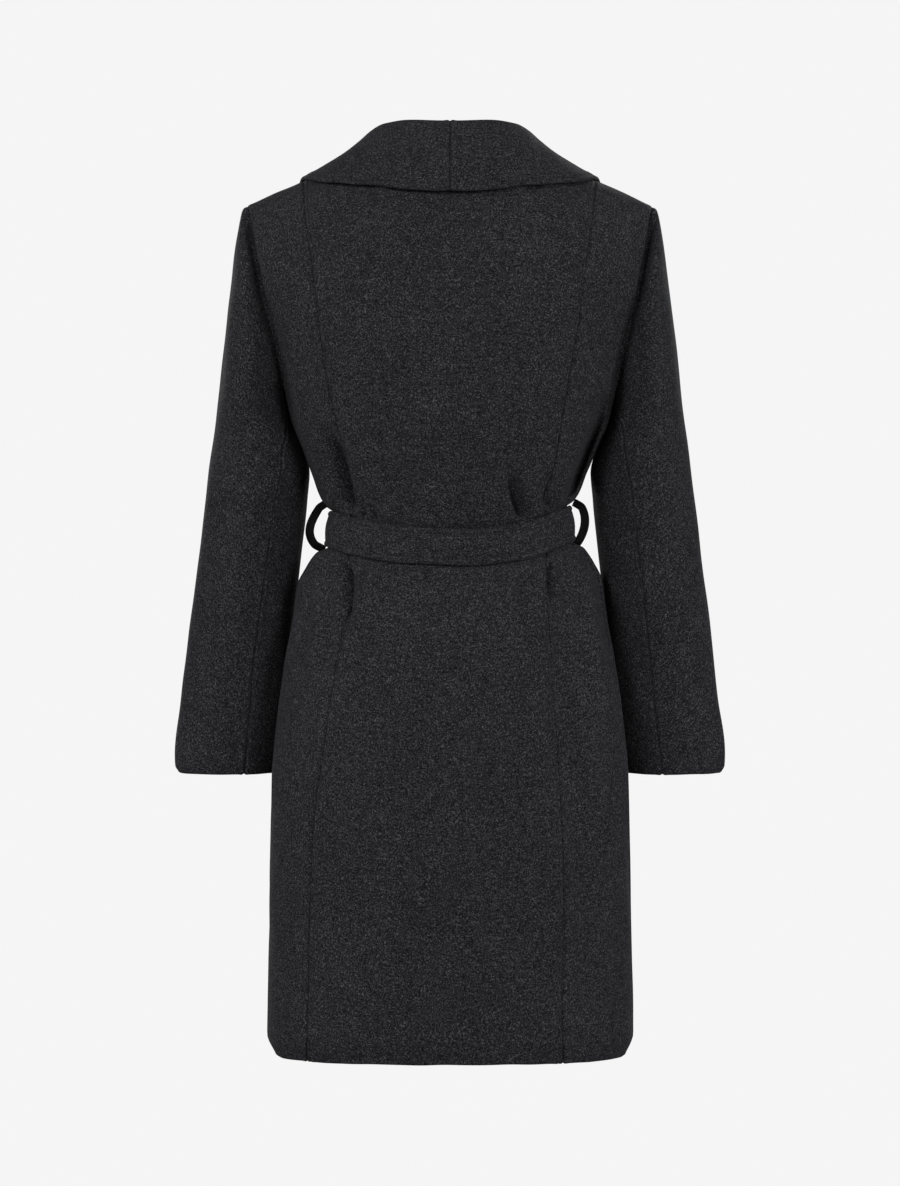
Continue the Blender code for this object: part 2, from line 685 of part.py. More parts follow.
def collar_fall(along, share, under):
    """A point of the fall's inner face, from the roll (share 0) to the outer edge (share 1)."""
    seam_x, seam_level = collar_seam(along)
    x = seam_x + (collar_edge_x_at(along) - seam_x) * share
    level = seam_level + (collar_edge_level_at(along) - seam_level) * share
    base, normal = over_coat(x, level, under)
    upright, way_out = collar_frame(along, under)[1:]
    height = (1 - share) ** COLLAR_FALL_POWER
    rising = unit(upright * (1 - share)[..., None] + normal * share[..., None])
    stand = rising * collar_stand_at(along)[..., None] - way_out * collar_lean_at(along)[..., None]
    return base + normal * collar_clear_at(along)[..., None] + stand * height[..., None]


def collar_profile(along, under):
    """Both faces of the collar at each station: base, stand, roll and fall.

    The inner face is the one that touches itself when the collar is turned down. The cloth's
    thickness lies outside it.
    """
    seam, normal, way_out = collar_frame(along, under)
    stand = normal * collar_stand_at(along)[:, None] - way_out * collar_lean_at(along)[:, None]
    up = unit(stand)
    out = unit(way_out - up * (way_out * up).sum(-1, keepdims=True))
    start = collar_fall(along, np.zeros_like(along), under)
    heading = unit(collar_fall(along, np.full_like(along, 2 * SHARE_STEP), under) - start)
    end_turn = np.arctan2(-(heading * out).sum(-1), (heading * up).sum(-1))
    inner, outer = [], []
    rolled = seam + out * COLLAR_ROLL
    for point in (rolled - up * BASE_DEPTH, rolled + stand / 2):
        inner.append(point)
        outer.append(point + out * COLLAR_THICK)
    for share in COLLAR_ROLL_SHARES:
        turn = (end_turn * share)[:, None]
        ray = out * np.cos(turn) + up * np.sin(turn)
        inner.append(seam + stand + ray * COLLAR_ROLL)
        outer.append(seam + stand + ray * (COLLAR_ROLL + COLLAR_THICK))
    middle = np.maximum(along, COLLAR_STEP)
    for share in COLLAR_FALL:
        part = np.full_like(along, share)
        point = collar_fall(along, part, under)
        ahead = collar_fall(middle + COLLAR_STEP, part, under)
        side = ahead - collar_fall(middle - COLLAR_STEP, part, under)
        fall = collar_fall(along, part - SHARE_STEP, under) - point
        inner.append(point)
        outer.append(point + unit(np.cross(fall, side)) * COLLAR_THICK)
    return np.stack(inner), np.stack(outer)


def collar_stations(levels):
    """A station at each vertex of the panels that the collar is sewn to."""
    neck = NECK_SEAM * NECK_TURNS / 90
    front = NECK_SEAM - levels[(levels < 0) & (levels > BREAK)]
    last = NECK_SEAM - BREAK
    return np.concatenate([neck, front, [last]])


def build_collar(levels):
    along = collar_stations(levels)
    for side, sign, under in (("left", 1, True), ("right", -1, False)):
        inner, outer = collar_profile(along, under)
        for face in (inner, outer):
            face[:, 0, 0] = SEAM_GAP / 2
        mirror = np.array([sign, 1, 1])
        add_wall("collar_" + side, outer * mirror, inner * mirror)


def over_band(angle, level, offset):
    return coat_point(angle, level) + coat_normal(angle, level) * offset


def build_belt():
    """The band round the waist, from one side of the knot round the back to the other."""
    end = angle_at(np.array(KNOT_HALF_WIDTH - BAND_UNDER_KNOT), BELT_MIDDLE, front=True)
    angles = np.linspace(-end, end, BAND_COLUMNS)[None, :]
    levels = np.array([BELT_TOP, BELT_MIDDLE, BELT_BOTTOM])[:, None]
    inner = over_band(angles, levels, BELT_GAP)
    add_wall("belt_band", over_band(angles, levels, BELT_GAP + BELT_THICK), inner)


def build_knot():
    """A soft block with a groove down the middle, where the two ends cross."""
    around = np.radians(np.arange(0, 360, 22.5))[None, :]
    tilt = np.radians(np.linspace(-90, 90, 11)[1:-1])[:, None]
    girth = signed_power(np.cos(tilt), KNOT_ROUNDNESS)
    x = KNOT_HALF_WIDTH * girth * signed_power(np.cos(around), KNOT_ROUNDNESS)
    y = KNOT_DEPTH / 2 * girth * signed_power(np.sin(around), KNOT_ROUNDNESS)
    z = KNOT_HALF_HEIGHT * signed_power(np.sin(tilt), KNOT_ROUNDNESS)
    groove = KNOT_GROOVE * np.exp(-((x / KNOT_GROOVE_WIDTH) ** 2))
    y = y * np.where(y < 0, 1 - groove, 1)
    centre = over_band(180.0, BELT_MIDDLE, BELT_GAP + KNOT_DEPTH / 2)
    grid = stacked(x, y, z) + centre
    rows, columns = grid.shape[:2]
    index = np.arange(rows * columns).reshape(rows, columns)
    after = np.roll(index, -1, axis=1)
    sides = np.stack([index[:-1], after[:-1], after[1:], index[1:]], axis=-1).reshape(-1, 4)
    low, high = rows * columns, rows * columns + 1
    faces = [tuple(face) for face in sides]
    faces += [(low, b, a) for a, b in zip(index[0], after[0])]
    faces += [(high, a, b) for a, b in zip(index[-1], after[-1])]
    ends = centre + np.array([[0, 0, -KNOT_HALF_HEIGHT], [0, 0, KNOT_HALF_HEIGHT]])
    points = np.concatenate([grid.reshape(-1, 3), ends])
    add_object("belt_knot", points, faces, WOOL)


def build_tail(tail):
    """A belt end that hangs from the knot over the skirt."""
    drop = tail.length * np.array(TAIL_ROWS)[:, None]
    widened = smooth_step(drop / TAIL_WIDENS_OVER)
    spread = smooth_step(drop / TAIL_SPREADS_OVER)
    settled = smooth_step((drop - TAIL_WIDENS_OVER) / (TAIL_SETTLES_OVER - TAIL_WIDENS_OVER))
    width = TAIL_NECK_WIDTH + (TAIL_WIDTH - TAIL_NECK_WIDTH) * widened
    middle = tail.x_top + (tail.x_bottom - tail.x_top) * spread
    x = middle + width * np.array(TAIL_COLUMNS)
    offset = BELT_GAP + tail.lift * (1 - settled)
    level, offset = np.broadcast_arrays(tail.top - drop, offset, x)[:2]
    angle = angle_at(x, level, front=True)
    inner = over_band(angle, level, offset[..., None])
    outer = over_band(angle, level, offset[..., None] + BELT_THICK)
    add_wall(tail.name, outer, inner)


def build_loop(loop):
    """A strip sewn to the coat above and below the belt, standing out between them."""
    share = np.linspace(0, 1, LOOP_ROWS)[:, None]
    level = np.array([LOOP_TOP, LOOP_BOTTOM])
    ends = over_band(np.full(2, loop.angle), level, loop.seat)
    path = ends[0] * (1 - share) + ends[1] * share
    bulge = loop.bulge * np.abs(np.sin(math.pi * share**loop.sag)) ** LOOP_FULLNESS
    path = path + np.array([1, 0, 0]) * bulge
    along = unit(np.gradient(path, axis=0))
    flat = np.array([0.0, 1.0, 0.0])
    across = unit(flat - along * (along @ flat)[:, None])
    out = np.cross(across, along)
    twist = np.radians(LOOP_TWIST) * np.sin(math.pi * share)
    wide = across * np.cos(twist) + out * np.sin(twist)
    thick = np.cross(wide, along)
    columns = np.array([-0.5, 0.5])[None, :, None] * LOOP_WIDTH
    outer = path[:, None] + wide[:, None] * columns + thick[:, None] * LOOP_THICK / 2
    inner = outer - thick[:, None] * LOOP_THICK
    mirror = np.array([loop.sign, 1, 1])
    add_wall("belt_loop_" + loop.side, outer * mirror, inner * mirror, LOOP_WOOL)


def main():
    for old in list(bpy.data.objects):
        bpy.data.objects.remove(old)
    levels = body_levels()
    build_back(levels)
    build_fronts(levels)
    build_sleeve("left", 1)
    build_sleeve("right", -1)
    build_collar(levels)
    build_belt()
    build_knot()
    for tail in TAILS:
        build_tail(tail)
    for loop in LOOPS:
        build_loop(loop)


main()
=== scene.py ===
"""The looks of a belted wrap coat of charcoal wool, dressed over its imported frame.

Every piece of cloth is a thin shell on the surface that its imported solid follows, worked out
again on a finer grid and finished with seams, stitches, creases and a melange wool. Sizes are in
metres and angles in degrees unless a name says otherwise. The wearer faces -Y, +Z is up and +X is
the wearer's left, so the photograph looks along -Y at the back.
"""

from __future__ import annotations

import logging
import math
from dataclasses import dataclass, field
from enum import Enum
from typing import Mapping, NamedTuple, Optional, Sequence, Union

import bpy
import numpy as np
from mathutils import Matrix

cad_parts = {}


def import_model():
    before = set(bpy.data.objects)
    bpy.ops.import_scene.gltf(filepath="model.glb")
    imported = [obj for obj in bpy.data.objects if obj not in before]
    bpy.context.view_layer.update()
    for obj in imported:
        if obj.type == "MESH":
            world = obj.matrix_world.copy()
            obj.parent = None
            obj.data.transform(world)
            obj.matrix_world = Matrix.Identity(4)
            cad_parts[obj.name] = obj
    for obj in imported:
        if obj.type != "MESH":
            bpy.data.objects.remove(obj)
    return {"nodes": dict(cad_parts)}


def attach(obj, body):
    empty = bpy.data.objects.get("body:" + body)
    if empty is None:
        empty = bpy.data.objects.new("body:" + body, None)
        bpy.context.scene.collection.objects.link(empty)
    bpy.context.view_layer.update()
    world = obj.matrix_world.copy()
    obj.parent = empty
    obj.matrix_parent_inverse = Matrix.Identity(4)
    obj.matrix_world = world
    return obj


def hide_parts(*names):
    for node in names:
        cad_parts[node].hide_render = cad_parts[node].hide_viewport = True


LOG = logging.getLogger("coat")
Array = np.ndarray
Color = tuple[float, float, float]


# ---- curves and small helpers ----


class Curve:
    """A smooth curve through the rows of a table, with no overshoot between them."""

    def __init__(self, rows: Sequence[Sequence[float]], column: int = 1) -> None:
        """Gives each row a slope that is the harmonic mean of the slopes beside it.

        Args:
            rows: The table; its first column is the place along the curve.
            column: The column that holds the value.
        """
        pairs = np.array(sorted(tuple(row) for row in rows), float)
        self.x, self.y = pairs[:, 0], pairs[:, column]
        step = np.diff(self.x)
        rise = np.diff(self.y) / step
        before, after = 2 * step[1:] + step[:-1], step[1:] + 2 * step[:-1]
        same_way = rise[1:] * rise[:-1] > 0
        low, high = np.where(same_way, rise[:-1], 1), np.where(same_way, rise[1:], 1)
        inner = np.where(same_way, (before + after) / (before / low + after / high), 0)
        self.slope = np.concatenate([rise[:1], inner, rise[-1:]])

    def __call__(self, x: Array) -> Array:
        """Reads the curve: the cubic between two rows that keeps their values and slopes.

        Args:
            x: The places to read, held within the table's ends.

        Returns:
            The value at each place.
        """
        x = np.clip(x, self.x[0], self.x[-1])
        i = np.clip(np.searchsorted(self.x, x) - 1, 0, len(self.x) - 2)
        step = self.x[i + 1] - self.x[i]
        t = (x - self.x[i]) / step
        keep = (1 + 2 * t) * (1 - t) ** 2 * self.y[i] + t**2 * (3 - 2 * t) * self.y[i + 1]
        bend = t * (1 - t) ** 2 * self.slope[i] - t**2 * (1 - t) * self.slope[i + 1]
        return keep + bend * step


def smooth_step(t: Array) -> Array:
    """0 below 0, 1 above 1 and an even S between them."""
    t = np.clip(t, 0, 1)
    return t * t * (3 - 2 * t)


def hump(distance: Array, width: float) -> Array:
    """A bell curve: 1 at no distance, and about a third at one width."""
    return np.exp(-((distance / width) ** 2))


def length_of(vectors: Array) -> Array:
    """The length of each vector."""
    return np.linalg.norm(vectors, axis=-1)


def unit(vectors: Array) -> Array:
    """The vectors at length 1."""
    return vectors / np.maximum(length_of(vectors), 1e-12)[..., None]


def stacked(x: Array, y: Array, z: Array) -> Array:
    """Points from their three coordinates."""
    return np.stack(np.broadcast_arrays(x, y, z), axis=-1).astype(float)


def signed_power(base: Array, power: Array) -> Array:
    """A power that keeps its base's sign."""
    return np.sign(base) * np.abs(base) ** power


def evened(grid: Array, passes: int) -> Array:
    """A grid whose rows are smoothed: each place inside one moves to the mean of its neighbours.

    Args:
        grid: The grid; its first and last column stay.
        passes: How many times the mean is taken.

    Returns:
        The smoothed copy.
    """
    for _ in range(passes):
        grid = grid.copy()
        grid[:, 1:-1] = (grid[:, :-2] + 2 * grid[:, 1:-1] + grid[:, 2:]) / 4
    return grid


def runs(*parts: tuple[float, float, int]) -> Array:
    """Even steps over several stretches, each given as its start, end and count."""
    return np.concatenate([np.linspace(a, b, n, endpoint=False) for a, b, n in parts])


def filled(first: Array, columns: int, last: Array) -> Array:
    """Two groups of columns with even columns between them.

    Args:
        first: The columns on the first side, a row for each level.
        columns: The number of even columns.
        last: The columns on the last side.

    Returns:
        All of them side by side.
    """
    inside = np.linspace(0, 1, columns + 2)[1:-1]
    return np.hstack([first, first[:, -1:] + (last[:, :1] - first[:, -1:]) * inside, last])


def ripple(points: Array, size: float = 0.0004) -> Array:
    """The soft unevenness of worn cloth: a sum of slow waves that run in fixed directions.

    Args:
        points: The places on the cloth.
        size: About how high the waves stand.

    Returns:
        The height of the cloth above its smooth form at each place.
    """
    dice = np.random.default_rng(WAVE_SEED)
    ways = unit(dice.normal(size=(WAVES, 3)) * (1, 1, 0.6))
    ways = ways / dice.uniform(*WAVE_LENGTHS, (WAVES, 1))
    starts = dice.uniform(0, 2 * math.pi, WAVES)
    return np.sin(points @ ways.T * 2 * math.pi + starts).sum(-1) * size / WAVES_TOGETHER


# ---- sizes that several pieces share ----

WALL = 0.002
HEM = -0.926
BREAK = -0.352

# The slow waves of worn cloth, their lengths, and about how high they stand together.
WAVE_SEED = 11
WAVES = 14
WAVE_LENGTHS = (0.028, 0.11)
WAVES_TOGETHER = 3.5

# Distances from a seam at which cloth carries a vertex, for its roll, puff and stitch channel.
NEAR = np.array([0, 0.0006, 0.0013, 0.0022, 0.0034, 0.0044, 0.005, 0.0056, 0.0066, 0.0082])
# The one of them that lies under a row of stitches, by number and distance.
CHANNEL = 6
CHANNEL_PLACE = float(NEAR[CHANNEL])

# height, half width
HALF_WIDTH = Curve(
    [
        (-0.130, 0.206), (-0.165, 0.1945), (-0.200, 0.1816), (-0.235, 0.173), (-0.270, 0.1652),
        (-0.300, 0.155), (-0.336, 0.1437), (-0.360, 0.1365), (-0.3745, 0.128),
        (-0.378, 0.123), (-0.3975, 0.1262), (-0.417, 0.1285), (-0.4205, 0.1385),
        (-0.427, 0.1455), (-0.435, 0.1515), (-0.450, 0.160), (-0.480, 0.165), (-0.520, 0.1735),
        (-0.560, 0.1795), (-0.600, 0.184), (-0.631, 0.187), (-0.714, 0.1885), (-0.820, 0.1905),
        (-0.905, 0.1918), (-0.926, 0.1832),
    ]
)

# height, depth of the back, depth of the front, roundness
DEPTHS = [
    (-0.130, 0.125, 0.118, 2.30),
    (-0.200, 0.123, 0.130, 2.28),
    (-0.260, 0.1165, 0.127, 2.25),
    (-0.320, 0.104, 0.115, 2.22),
    (-0.355, 0.097, 0.107, 2.20),
    (-0.3745, 0.0915, 0.1025, 2.20),
    (-0.378, 0.0885, 0.1005, 2.20),
    (-0.3975, 0.088, 0.100, 2.20),
    (-0.417, 0.0885, 0.1005, 2.20),
    (-0.4205, 0.092, 0.103, 2.20),
    (-0.430, 0.098, 0.108, 2.20),
    (-0.480, 0.112, 0.118, 2.24),
    (-0.560, 0.124, 0.126, 2.28),
    (-0.650, 0.130, 0.130, 2.30),
    (-0.820, 0.132, 0.134, 2.30),
    (-0.905, 0.134, 0.136, 2.30),
    (-0.926, 0.131, 0.133, 2.30),
]
BACK_DEPTH, FRONT_DEPTH, ROUNDNESS = (Curve(DEPTHS, column) for column in (1, 2, 3))

# height, distance of the left and of the right princess seam from the centre back
PRINCESS_SEAMS = [
    (0.000, 0.154, 0.153),
    (-0.070, 0.150, 0.148),
    (-0.103, 0.1443, 0.142),
    (-0.134, 0.1392, 0.1365),
    (-0.185, 0.1331, 0.1295),
    (-0.226, 0.127, 0.1225),
    (-0.267, 0.1189, 0.1155),
    (-0.307, 0.1119, 0.109),
    (-0.375, 0.1029, 0.101),
    (-0.420, 0.105, 0.100),
    (-0.500, 0.116, 0.1085),
    (-0.586, 0.1277, 0.117),
    (-0.696, 0.1419, 0.118),
    (-0.880, 0.147, 0.115),
    (-0.926, 0.148, 0.1165),
]
PRINCESS_LEFT, PRINCESS_RIGHT = (Curve(PRINCESS_SEAMS, column) for column in (1, 2))

# height, degrees from the centre back of the left and of the right side seam
SIDE_SEAMS = [
    (-0.235, 90, 90),
    (-0.300, 92, 82),
    (-0.400, 94, 77),
    (-0.500, 94, 77),
    (-0.650, 93, 82),
    (-0.926, 92, 86),
]
SIDE_LEFT, SIDE_RIGHT = (Curve(SIDE_SEAMS, column) for column in (1, 2))

# height, x of the left front's inner edge; the right front mirrors it
FRONT_EDGE = Curve(
    [
        (0.000, 0.079), (-0.022, 0.077), (-0.045, 0.072), (-0.085, 0.060), (-0.130, 0.045),
        (-0.200, 0.013), (-0.225, 0.003), (-0.250, -0.012), (-0.315, -0.040), (-0.352, -0.058),
        (-0.420, -0.064), (-0.926, -0.075),
    ]
)


class Crease(NamedTuple):
    """A soft trough in the body: its ends, where it is deepest, its depth and half width.

    The ends' x is in the coat's frame. A negative depth makes a ridge.
    """

    x_top: float
    top: float
    peak: float
    x_bottom: float
    bottom: float
    depth: float
    width: float


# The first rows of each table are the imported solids' own folds, one of them a little deeper.
BACK_CREASES = [
    Crease(*row)
    for row in [
        (0.126, -0.250, -0.362, 0.104, -0.377, 0.008, 0.009),
        (-0.056, -0.318, -0.366, -0.083, -0.377, 0.004, 0.009),
        (0.112, -0.418, -0.445, 0.127, -0.560, 0.007, 0.010),
        (0.101, -0.418, -0.435, 0.108, -0.500, 0.004, 0.009),
        (-0.076, -0.418, -0.440, -0.058, -0.540, 0.003, 0.012),
        (-0.113, -0.419, -0.540, -0.146, -0.900, 0.016, 0.0165),
        # above the belt
        (0.132, -0.262, -0.350, 0.108, -0.379, 0.030, 0.0056),
        (0.119, -0.330, -0.370, 0.116, -0.379, 0.003, 0.0036),
        (0.097, -0.330, -0.370, 0.091, -0.379, 0.010, 0.004),
        (0.082, -0.348, -0.372, 0.078, -0.379, 0.0064, 0.0032),
        (0.052, -0.354, -0.373, 0.050, -0.379, 0.0018, 0.0036),
        (0.014, -0.345, -0.372, 0.012, -0.379, 0.0012, 0.005),
        (-0.019, -0.352, -0.373, -0.021, -0.379, 0.0022, 0.0034),
        (-0.048, -0.350, -0.372, -0.052, -0.379, 0.0018, 0.004),
        (-0.057, -0.306, -0.364, -0.081, -0.379, 0.018, 0.005),
        (-0.098, -0.300, -0.366, -0.106, -0.379, 0.011, 0.0066),
        (0.135, -0.220, -0.330, 0.111, -0.379, 0.006, 0.011),
        (-0.118, -0.250, -0.340, -0.100, -0.379, -0.002, 0.008),
        (0.070, -0.240, -0.320, 0.052, -0.374, 0.002, 0.022),
        (-0.040, -0.230, -0.310, -0.030, -0.374, 0.0018, 0.026),
        (0.040, -0.060, -0.150, 0.100, -0.250, 0.0012, 0.030),
        (-0.030, -0.070, -0.160, -0.090, -0.260, 0.0012, 0.030),
        # below the belt
        (0.130, -0.4175, -0.440, 0.134, -0.555, 0.010, 0.0075),
        (0.1135, -0.4175, -0.436, 0.108, -0.500, 0.018, 0.0056),
        (0.089, -0.4175, -0.428, 0.090, -0.470, 0.004, 0.004),
        (0.062, -0.4175, -0.426, 0.064, -0.460, 0.004, 0.004),
        (0.045, -0.4175, -0.424, 0.045, -0.440, 0.0014, 0.0036),
        (0.024, -0.4175, -0.424, 0.023, -0.446, 0.008, 0.004),
        (0.003, -0.4175, -0.424, 0.002, -0.448, 0.0014, 0.0045),
        (-0.026, -0.4175, -0.424, -0.027, -0.446, 0.0036, 0.0036),
        (-0.050, -0.4175, -0.428, -0.046, -0.478, 0.0036, 0.0044),
        (-0.078, -0.4175, -0.430, -0.066, -0.510, 0.0044, 0.0042),
        (-0.108, -0.4175, -0.434, -0.110, -0.480, 0.015, 0.0056),
        (-0.123, -0.4175, -0.438, -0.131, -0.540, 0.008, 0.0072),
        (0.148, -0.420, -0.460, 0.160, -0.590, 0.007, 0.0075),
        (-0.134, -0.420, -0.460, -0.152, -0.620, 0.009, 0.008),
        (0.090, -0.470, -0.640, 0.100, -0.900, 0.002, 0.026),
        (0.020, -0.480, -0.660, 0.014, -0.915, 0.0017, 0.032),
        (-0.060, -0.520, -0.700, -0.068, -0.915, 0.002, 0.028),
        (-0.123, -0.560, -0.740, -0.128, -0.915, -0.0026, 0.008),
    ]
]
FRONT_CREASES = [
    Crease(*row)
    for row in [
        (0.092, -0.260, -0.360, 0.080, -0.377, 0.006, 0.012),
        (-0.098, -0.280, -0.362, -0.086, -0.377, 0.007, 0.012),
        (0.088, -0.418, -0.470, 0.112, -0.780, 0.008, 0.016),
        (-0.092, -0.418, -0.450, -0.118, -0.700, 0.008, 0.016),
        # finer
        (0.060, -0.330, -0.368, 0.056, -0.377, 0.003, 0.007),
        (0.026, -0.340, -0.369, 0.022, -0.377, 0.002, 0.006),
        (-0.060, -0.336, -0.368, -0.062, -0.377, 0.0028, 0.0065),
        (-0.118, -0.300, -0.362, -0.108, -0.377, 0.0034, 0.008),
        (0.120, -0.300, -0.362, 0.108, -0.377, 0.003, 0.008),
        (0.060, -0.418, -0.430, 0.064, -0.500, 0.003, 0.007),
        (-0.064, -0.418, -0.432, -0.074, -0.520, 0.003, 0.008),
        (0.126, -0.430, -0.480, 0.144, -0.640, 0.0034, 0.010),
        (-0.128, -0.430, -0.480, -0.146, -0.640, 0.004, 0.010),
        (0.040, -0.460, -0.640, 0.050, -0.900, 0.002, 0.028),
        (-0.040, -0.450, -0.620, -0.052, -0.900, 0.002, 0.030),
    ]
]

# level, distance from the middle of the deep fold down the right side, its depth
RIGHT_FOLD = [
    (-0.236, 0.162, 0.000),
    (-0.270, 0.154, 0.028),
    (-0.300, 0.1442, 0.040),
    (-0.336, 0.1335, 0.040),
    (-0.354, 0.1275, 0.026),
    (-0.368, 0.122, 0.000),
    (-0.4205, 0.136, 0.000),
    (-0.430, 0.143, 0.016),
    (-0.450, 0.155, 0.024),
    (-0.480, 0.161, 0.020),
    (-0.520, 0.170, 0.010),
    (-0.560, 0.1765, 0.000),
]
FOLD_X, FOLD_DEPTH = Curve(RIGHT_FOLD, 1), Curve(RIGHT_FOLD, 2)

# height, x of the sleeve's outer edge
SLEEVE_OUTER = Curve(
    [
        (-0.0395, 0.2155), (-0.050, 0.219), (-0.0734, 0.2237), (-0.1154, 0.2289),
        (-0.157, 0.2346), (-0.241, 0.245), (-0.294, 0.2524), (-0.346, 0.2594), (-0.394, 0.265),
        (-0.472, 0.2755), (-0.556, 0.2855), (-0.617, 0.293), (-0.6275, 0.2925),
        (-0.634, 0.2888),
    ]
)
# height, x of the sleeve's inner edge
SLEEVE_INNER = Curve(
    [
        (-0.050, 0.190), (-0.120, 0.180), (-0.235, 0.1737), (-0.250, 0.1696), (-0.270, 0.1641),
        (-0.295, 0.154), (-0.3175, 0.1487), (-0.345, 0.151), (-0.425, 0.1597),
        (-0.500, 0.1675), (-0.6275, 0.182), (-0.634, 0.185),
    ]
)
# height, y of the sleeve's middle, half its depth
SLEEVE_SIDES = [
    (-0.044, 0.000, 0.050),
    (-0.120, -0.005, 0.066),
    (-0.235, -0.026, 0.070),
    (-0.270, -0.037, 0.068),
    (-0.320, -0.041, 0.065),
    (-0.425, -0.048, 0.058),
    (-0.530, -0.055, 0.050),
    (-0.634, -0.060, 0.043),
]
SLEEVE_MIDDLE, SLEEVE_DEPTH = (Curve(SLEEVE_SIDES, column) for column in (1, 2))
# share of the sleeve's length, degrees round it of the left and of the right back seam
BACK_SEAM = [
    (0.00, 158, 158),
    (0.08, 153, 150),
    (0.175, 138, 130),
    (0.26, 123, 117),
    (0.38, 116, 106),
    (0.60, 112, 105),
    (0.80, 110, 105),
    (1.00, 113, 105),
]

# distance along the seam, edge's x, edge's level (back > 0 > front), stand, lean, clearance
COLLAR_STATIONS = [
    (0.000, 0.000, 0.059, 0.0424, 0.008, 0.005),
    (0.020, 0.0275, 0.0625, 0.0392, 0.0075, 0.0051),
    (0.0419, 0.058, 0.0668, 0.0317, 0.006, 0.0052),
    (0.0585, 0.087, 0.064, 0.0243, 0.0035, 0.005),
    (0.0754, 0.112, 0.0532, 0.0195, 0.001, 0.0044),
    (0.093, 0.134, 0.0415, 0.016, -0.001, 0.003),
    (0.101, 0.144, 0.027, 0.015, -0.0016, 0.0022),
    (0.1087, 0.151, 0.007, 0.0144, -0.002, 0.0018),
    (0.1307, 0.156, -0.020, 0.0126, -0.001, 0.0026),
    (0.1537, 0.158, -0.055, 0.009, 0.000, 0.0028),
    (0.1937, 0.151, -0.100, 0.003, 0.000, 0.003),
    (0.2587, 0.122, -0.180, 0.001, 0.000, 0.0026),
    (0.3337, 0.072, -0.252, 0.0005, 0.000, 0.0022),
    (0.4237, -0.010, -0.327, 0.0005, 0.000, 0.0009),
    (0.4607, -0.050, -0.353, 0.0005, 0.000, 0.0009),
]
EDGE_X, EDGE_LEVEL, STAND, LEAN, CLEAR = (Curve(COLLAR_STATIONS, c) for c in range(1, 6))


# ---- meshes ----

SHARP_ANGLE = 58.0


class Rim(NamedTuple):
    """How far each edge of a shell rounds out, as a share of half its thickness."""

    top: float = 0.0
    bottom: float = 0.0
    first: float = 0.0
    last: float = 0.0


def add_mesh(name: str, points: Array, faces: Sequence[Array], uv: Array) -> bpy.types.Object:
    """A closed mesh object at the origin, its faces turned outwards.

    Args:
        name: The piece's name.
        points: Its points.
        faces: Arrays of faces, one array for each number of corners.
        uv: The place of each point on the flat cloth, in metres.

    Returns:
        The new object.
    """
    volume = 0.0
    for group in faces:
        for k in range(1, group.shape[1] - 1):
            a, b, c = points[group[:, 0]], points[group[:, k]], points[group[:, k + 1]]
            volume += float((a * np.cross(b, c)).sum())
    if volume < 0:
        faces = [group[:, ::-1] for group in faces]
    corners = np.concatenate([group.reshape(-1) for group in faces]).astype(np.int32)
    sizes = np.concatenate([np.full(len(group), group.shape[1]) for group in faces])
    starts = np.concatenate([[0], np.cumsum(sizes)[:-1]]).astype(np.int32)
    mesh = bpy.data.meshes.new(name)
    mesh.vertices.add(len(points))
    mesh.vertices.foreach_set("co", points.astype(np.float32).ravel())
    mesh.loops.add(len(corners))
    mesh.loops.foreach_set("vertex_index", corners)
    mesh.polygons.add(len(sizes))
    mesh.polygons.foreach_set("loop_start", starts)
    mesh.update(calc_edges=True)
    mesh.uv_layers.new(name="cloth").uv.foreach_set("vector", uv[corners].astype("f4").ravel())
    mesh.shade_smooth()
    mesh.set_sharp_from_angle(angle=math.radians(SHARP_ANGLE))
    placed = bpy.data.objects.new(name, mesh)
    bpy.context.scene.collection.objects.link(placed)
    return placed


def flat_places(outer: Array, start: float) -> Array:
    """Where each grid point lies on the flat cloth: its lengths along row and column.

    Args:
        outer: The grid.
        start: A shift that keeps the pattern from repeating on another piece.

    Returns:
        A pair of lengths from the grid's middle for each point.
    """
    across = np.cumsum(length_of(np.diff(outer, axis=1, prepend=outer[:, :1])), axis=1)
    across = across - across[:, across.shape[1] // 2][:, None]
    down = np.cumsum(length_of(np.diff(outer, axis=0, prepend=outer[:1])), axis=0)
    down = down - down[down.shape[0] // 2]
    return np.stack([across + start, start - down], axis=-1).reshape(-1, 2)


def quads_of(grid: Array) -> Array:
    """The four-cornered faces between the rows and columns of a grid of point numbers."""
    quads = np.stack([grid[:-1, :-1], grid[:-1, 1:], grid[1:, 1:], grid[1:, :-1]], axis=-1)
    return quads.reshape(-1, 4)


